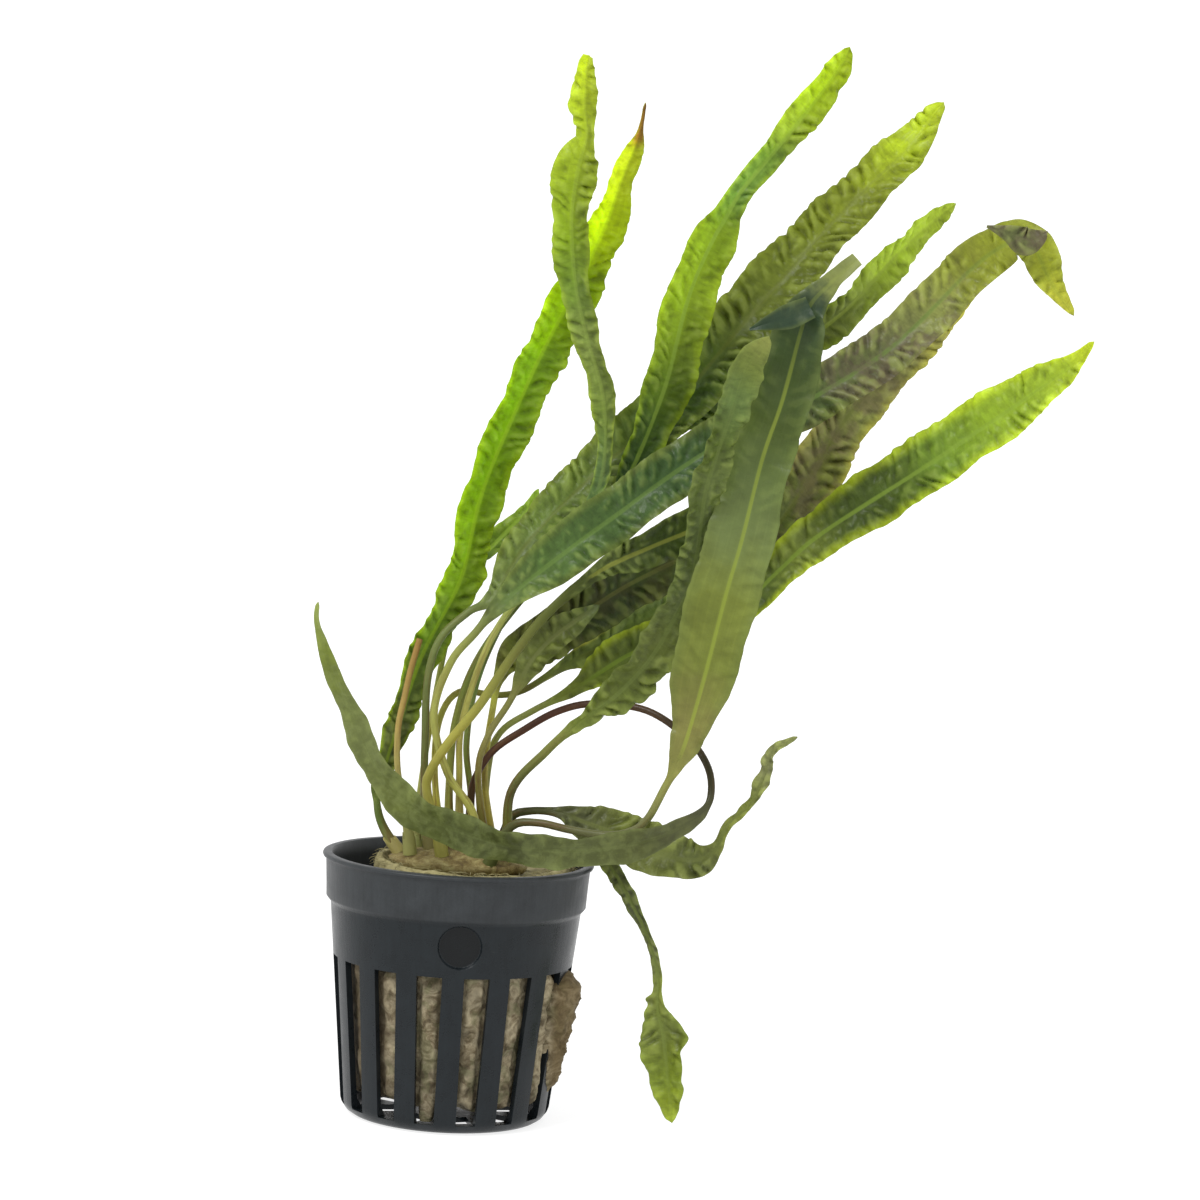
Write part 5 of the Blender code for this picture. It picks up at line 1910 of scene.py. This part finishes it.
# The leaves that lean to the right or hang, with their points as in the solids.
LEANING_LEAVES = (
    Leaf(
        "leaf_front_ruffled", Slot.GREEN, foot=(9.4, -3.4),
        stalk=((9.1, 63.3), (15.4, 71.8)),
        blade=((21, 77.6, 2.6), (24.4, 80.4, 4.6), (29, 84.6, 7.4), (34.7, 91.9, 8.2), (38.6, 100, 8),
               (41.4, 107.5, 7.4), (42.3, 117, 6.2), (43.2, 126, 6), (46.4, 138, 5.4), (49.4, 149, 6.4),
               (53.4, 155.5, 1.4)),
        depths=(-8, -11, -15, -27, -34),
        finish=LeafFinish(
            run=((0.0, 130, 135, 60), (0.2, 90, 92, 54), (0.42, 114, 121, 62), (0.51, 124, 136, 65),
                 (0.57, 96, 108, 47), (0.63, 106, 116, 60), (0.7, 105, 118, 66), (0.76, 84, 98, 45),
                 (0.82, 105, 119, 64), (0.87, 92, 108, 46), (0.92, 108, 128, 70), (0.96, 118, 131, 62),
                 (1.0, 142, 148, 80)),
            margin=(125, 138, 72), rib=(128, 143, 78), gain=1.1, rib_share=0.4),
        turn=-24, stalk_width=1.7, ruffle=Ruffle(height=0.62, scallop=0.05, frill=0.9, calm_from=0.88)),
    Leaf(
        "leaf_front_broad", Slot.GREEN, foot=(6.0, -6.8),
        stalk=((9.5, 56.7), (14.5, 57.8), (21, 56.8), (27.9, 56.2), (32.7, 57.2), (35.8, 60), (38.6, 66)),
        blade=((40.7, 70.6, 2.8), (42.4, 76, 6), (45, 87.7, 11.2), (48.3, 104.8, 12.7), (50.6, 115, 12.5),
               (53.7, 131.6, 11.4), (56.8, 143, 11), (59.4, 156, 9.8), (61, 162, 6), (64.7, 166.6, 3.8),
               (69.6, 171.6, 2.4)),
        depths=(-13.5, -17, -21.2, -23, -28),
        finish=LeafFinish(
            run=((0.0, 72, 80, 42), (0.15, 90, 90, 60), (0.35, 100, 103, 68), (0.48, 125, 127, 68),
                 (0.54, 140, 138, 78), (0.6, 124, 133, 60), (0.66, 128, 138, 62), (0.72, 122, 136, 80),
                 (0.77, 110, 126, 72), (0.82, 88, 104, 50), (0.87, 76, 93, 48), (0.91, 72, 90, 52),
                 (0.935, 60, 80, 60), (0.95, 76, 90, 62), (0.965, 140, 148, 85), (1.0, 160, 168, 108)),
            margin=(120, 134, 70), rib=(158, 172, 72), rib_share=0.6, rib_width=0.4, relief=0.1, gain=0.92,
            stalk_gain=1.8),
        turn=22, ruffle=Ruffle(height=0.13, length=3.6), blunt=True,
        flaps=(Flap(
            points=((49.6, 156.6, 0.5), (53, 158, 2.6), (57, 159.6, 4.6), (61, 161.6, 4.4)),
            depths=(-28.2, -28.2, -27.4), turn=12, run=0.935),)),
    Leaf(
        "leaf_looping", Slot.GREEN, foot=(1.9, 1.4),
        stalk=((1.5, 61.7), (2.4, 66.6), (5.4, 71.5), (10.5, 75.5), (17, 79.7), (24, 81.7), (34.3, 81),
               (42.6, 76), (46.8, 70.5), (47.6, 65)),
        blade=((45.9, 61.6, 2), (42, 58.6, 3.6), (36, 55.8, 5.8), (26, 53.2, 6.2), (12.7, 52.7, 6.2),
               (2.2, 54.6, 6.8), (-8.6, 58.5, 6.8), (-16.2, 65.6, 5.4), (-21.4, 75, 4.4), (-27, 86, 2.8),
               (-30, 94, 1.4), (-30.2, 98.3, 0.8)),
        depths=(3, 2, -5, -14, -20, -21, -19, -17, -24),
        finish=LeafFinish(
            run=((0.0, 104, 97, 44), (0.1, 98, 68, 50), (0.22, 110, 76, 60), (0.33, 104, 84, 66),
                 (0.43, 80, 74, 52), (0.5, 90, 92, 64), (0.56, 87, 92, 50), (0.62, 94, 101, 57),
                 (0.68, 80, 86, 48), (0.74, 82, 90, 45), (0.8, 94, 102, 48), (0.86, 108, 116, 68),
                 (0.91, 110, 119, 64), (0.95, 126, 138, 60), (1.0, 150, 162, 90)),
            margin=(125, 134, 80), rib=(115, 126, 70), margin_share=0.3, rib_share=0.15, relief=0.12,
            gain=1.07, stalk_gain=0.68, blotch=(138, 148, 92), blotch_share=0.3, blotch_size=2.4,
            blotch_from=0.55),
        turn=22, stalk_width=1.4, ruffle=Ruffle(height=0.14, length=4.0)),
    Leaf(
        "leaf_brown_margin", Slot.DARK, foot=(-3.6, 4.8),
        stalk=((-5.8, 67), (-5.4, 77), (-2, 82.4), (5, 82.2), (10.5, 83.6)),
        blade=((18, 89, 2.5), (24.5, 93, 6), (38.5, 102, 9), (51, 110.5, 10.4), (61.5, 126, 11.2),
               (68.2, 139, 10), (76.2, 149.7, 8.8), (87, 162, 6.4), (93, 168.4, 1)),
        depths=(10.5, 12, 14, 17, 22),
        finish=LeafFinish(
            run=((0.0, 146, 142, 70), (0.2, 128, 128, 65), (0.42, 75, 78, 34), (0.54, 94, 107, 55),
                 (0.62, 108, 124, 70), (0.7, 84, 97, 48), (0.78, 92, 96, 45), (0.86, 112, 116, 67),
                 (0.92, 112, 110, 65), (1.0, 176, 175, 73)),
            margin=(160, 158, 72), rib=(120, 128, 65), margin_share=0.7, margin_start=0.62,
            blotch=(95, 84, 66), blotch_share=0.55, blotch_from=0.66, blotch_to=0.92, gain=1.52,
            stalk_gain=1.35),
        turn=-20, stalk_width=1.3, ruffle=Ruffle(height=0.6)),
    Leaf(
        "leaf_lower_right", Slot.BRIGHT, foot=(4.2, 6.6),
        stalk=((4.5, 68), (6.4, 75), (12.4, 79.6)),
        blade=((20.2, 84.2, 2.8), (25.5, 88.2, 6.6), (31, 92, 8.6), (39, 95.5, 8.2), (50, 101.5, 7.4),
               (58.3, 110, 7.4), (64.5, 116.4, 8.2), (74.4, 124, 10.4), (84.6, 131.5, 10.8),
               (97, 141.2, 10.4), (105.6, 148, 8), (111.8, 153.3, 4), (116, 158.4, 0.9)),
        depths=(8, 8.5, 6, 0, -10),
        finish=LeafFinish(
            run=((0.0, 105, 106, 54), (0.3, 138, 144, 84), (0.51, 118, 129, 61), (0.56, 94, 108, 48),
                 (0.61, 92, 106, 52), (0.66, 86, 101, 48), (0.71, 118, 130, 60), (0.76, 74, 88, 40),
                 (0.8, 76, 92, 38), (0.85, 112, 136, 50), (0.9, 130, 152, 46), (0.94, 140, 160, 52),
                 (0.97, 150, 168, 50), (1.0, 172, 182, 40)),
            margin=(196, 212, 45), rib=(145, 170, 70), margin_start=0.55, margin_share=0.45, gain=1.22,
            stalk_gain=1.05),
        turn=28, stalk_width=1.3, ruffle=Ruffle(height=0.6)),
    Leaf(
        "leaf_dark_olive", Slot.DARK, foot=(6.6, 4.4),
        stalk=((3.9, 66.5), (4.7, 80)),
        blade=((5.8, 86.4, 3), (8.4, 90.5, 7), (13.4, 94, 9.6), (20.5, 99, 10), (27.9, 104.5, 10),
               (35.3, 109, 9.6), (43, 113.4, 7.6), (51, 119, 1)),
        depths=(5, 4, 3.5, 3),
        finish=LeafFinish(
            run=((0.0, 128, 120, 63), (0.35, 132, 131, 65), (0.52, 112, 120, 52), (0.6, 95, 105, 46),
                 (0.67, 66, 78, 38), (0.75, 62, 76, 38), (0.83, 76, 88, 42), (0.92, 105, 120, 60),
                 (1.0, 114, 133, 57)),
            margin=(110, 118, 60), rib=(125, 130, 70), blotch=(80, 70, 44), blotch_share=0.35, gain=1.1,
            stalk_gain=2.1),
        turn=-14, stalk_width=1.3),
    Leaf(
        "leaf_grey_folded", Slot.GREEN, foot=(5.0, 1.6),
        stalk=((2.6, 66.5), (4, 74), (7.5, 80.5)),
        blade=((9.9, 85.7, 3), (11.6, 89.3, 5.4), (15, 93.6, 6), (19.5, 97.5, 4.4), (24, 101, 1)),
        depths=(-0.5, -2, -3),
        finish=LeafFinish(
            run=((0.0, 116, 109, 54), (0.35, 119, 116, 70), (0.53, 100, 108, 54), (0.65, 92, 101, 46),
                 (0.78, 92, 101, 47), (0.9, 80, 92, 41), (1.0, 72, 85, 43)),
            margin=(112, 120, 66), rib=(120, 126, 74), gain=1.13, stalk_gain=1.45),
        turn=20, stalk_width=1.3),
    Leaf(
        "leaf_curled_tail", Slot.OLIVE, foot=(7.8, -1.2),
        stalk=((9.2, 58.2), (13, 60)),
        blade=((18.9, 60, 2.2), (23, 58.6, 6), (28.4, 57, 8.6), (34.8, 54.6, 9.2), (41, 52.6, 8.4),
               (46, 52.4, 6.6), (49.4, 55, 2.4), (51.2, 59.6, 1.8, 10), (55.6, 64, 1.8, 20),
               (57.7, 69.4, 2, 20), (58.9, 74.2, 1.8, 20), (63.6, 77.7, 0.8, 10)),
        depths=(-3, -5, -8, -12, -16),
        finish=LeafFinish(
            run=((0.0, 75, 76, 46), (0.4, 80, 83, 48), (0.53, 88, 92, 60), (0.6, 94, 101, 47),
                 (0.67, 112, 119, 66), (0.73, 93, 100, 57), (0.8, 111, 117, 57), (0.86, 114, 122, 56),
                 (0.92, 122, 125, 86), (1.0, 129, 135, 84)),
            margin=(125, 132, 72), rib=(118, 126, 70), gain=1.2, stalk_gain=0.9),
        turn=22, ruffle=Ruffle(height=0.6, scallop=0.05, frill=0.9)),
    Leaf(
        "leaf_hanging", Slot.OLIVE, foot=(10.6, 1.2),
        stalk=((15.6, 53.6), (22.3, 54)),
        blade=((27.2, 52.6, 3.2), (30.4, 48.6, 3.2), (33.7, 43.4, 2.6), (37.4, 36.6, 1.8), (39.6, 29.6, 1.6),
               (39.9, 24.8, 2.2), (40.2, 21.9, 5), (41.4, 18, 7.6), (42.4, 12.5, 7.4), (43.2, 7, 6),
               (43.6, 3.6, 3.4), (44, 0.8, 0.9)),
        depths=(-1, -4, -6, -8, -9),
        finish=LeafFinish(
            run=((0.0, 84, 93, 48), (0.4, 106, 112, 70), (0.53, 88, 94, 56), (0.62, 86, 92, 62),
                 (0.7, 95, 99, 66), (0.76, 124, 132, 68), (0.82, 110, 120, 60), (0.87, 106, 117, 46),
                 (0.92, 122, 137, 50), (0.96, 126, 140, 42), (1.0, 155, 170, 60)),
            margin=(130, 145, 60), rib=(125, 138, 70), gain=1.12, stalk_gain=1.25),
        turn=-32, stalk_width=1.4, ruffle=Ruffle(height=0.5, scallop=0.06, frill=0.6),
        notches=(Notch(run=0.78, flank=1, depth=-1.1, spread=0.007),
                 Notch(run=0.855, flank=-1, depth=-0.24, spread=0.01),
                 Notch(run=0.875, flank=-1, depth=0.14, spread=0.008))),
)


@dataclass(frozen=True)
class Studio:
    """The pale floor, the soft light and the camera at the picture's angle."""

    floor_reach: float = 2.6
    floor_sides: int = 96
    floor_colour: Colour = (0.3, 0.3, 0.3, 1.0)
    floor_glow: float = 0.8
    sky_fade: tuple[float, float] = (0.15, 0.9)
    sky_low: float = 1.25
    sky_high: float = 0.85
    sun_turn: float = -40.0
    sun_rise: float = 48.0
    sun_angle: float = 18.0
    sun_strength: float = 1.9
    clip_start: float = 0.01

    def floor(self) -> None:
        """Lays a round pale floor under the pot."""
        mesh_tool = bmesh.new()
        bmesh.ops.create_circle(mesh_tool, cap_ends=True, segments=self.floor_sides, radius=self.floor_reach)
        mesh = bpy.data.meshes.new("floor")
        mesh_tool.to_mesh(mesh)
        mesh_tool.free()
        sheet = ShaderSheet("floor_paper")
        glow = {"Emission Color": WHITE, "Emission Strength": self.floor_glow}
        mesh.materials.append(sheet.surface(sheet.skin(self.floor_colour, 0.9, 0.1, glow)))
        floor = bpy.data.objects.new("floor", mesh)
        bpy.context.scene.collection.objects.link(floor)

    def sky(self) -> None:
        """Surrounds the object with white light that is weaker overhead."""
        world = bpy.data.worlds.new("studio_light")
        world.use_nodes = True
        tree = world.node_tree
        split = tree.nodes.new("ShaderNodeSeparateXYZ")
        fade = tree.nodes.new("ShaderNodeMapRange")
        tree.links.new(tree.nodes.new("ShaderNodeTexCoord").outputs["Generated"], split.inputs[0])
        tree.links.new(split.outputs[2], fade.inputs["Value"])
        values = self.sky_fade + (self.sky_low, self.sky_high)
        for name, value in zip(("From Min", "From Max", "To Min", "To Max"), values):
            fade.inputs[name].default_value = value
        background = tree.nodes["Background"]
        background.inputs["Color"].default_value = WHITE
        tree.links.new(fade.outputs[0], background.inputs["Strength"])
        bpy.context.scene.world = world

    def sun(self) -> None:
        """Adds the broad key light from the upper left front."""
        light = bpy.data.lights.new("key", "SUN")
        light.energy = self.sun_strength
        light.angle = math.radians(self.sun_angle)
        lamp = bpy.data.objects.new("key", light)
        rise = math.radians(self.sun_rise)
        towards = turned(math.cos(rise), self.sun_turn, math.sin(rise))
        lamp.rotation_euler = (-towards).to_track_quat("-Z", "Y").to_euler()
        bpy.context.scene.collection.objects.link(lamp)

    def camera(self) -> None:
        """Sets the camera at the picture's viewing angle."""
        lens = bpy.data.cameras.new("camera")
        lens.sensor_width = SIGHT.sensor
        lens.lens = SIGHT.lens()
        lens.clip_start = self.clip_start
        camera = bpy.data.objects.new("camera", lens)
        camera.matrix_world = SIGHT.camera_matrix()
        bpy.context.scene.collection.objects.link(camera)
        bpy.context.scene.camera = camera

    def build(self) -> None:
        """Sets up everything round the object."""
        self.floor()
        self.sky()
        self.sun()
        self.camera()
        bpy.context.scene.view_settings.view_transform = "Standard"


def main() -> None:
    """Builds the pieces in order and reports each one."""
    logging.basicConfig(level=logging.INFO, format="%(relativeCreated)7.0f ms  %(message)s")
    Studio().build()
    NetPot().build()
    WoolPlug().build()
    Crown().build()
    for leaf in UPRIGHT_LEAVES + LEANING_LEAVES:
        leaf.build()


if __name__ == "__main__":
    main()
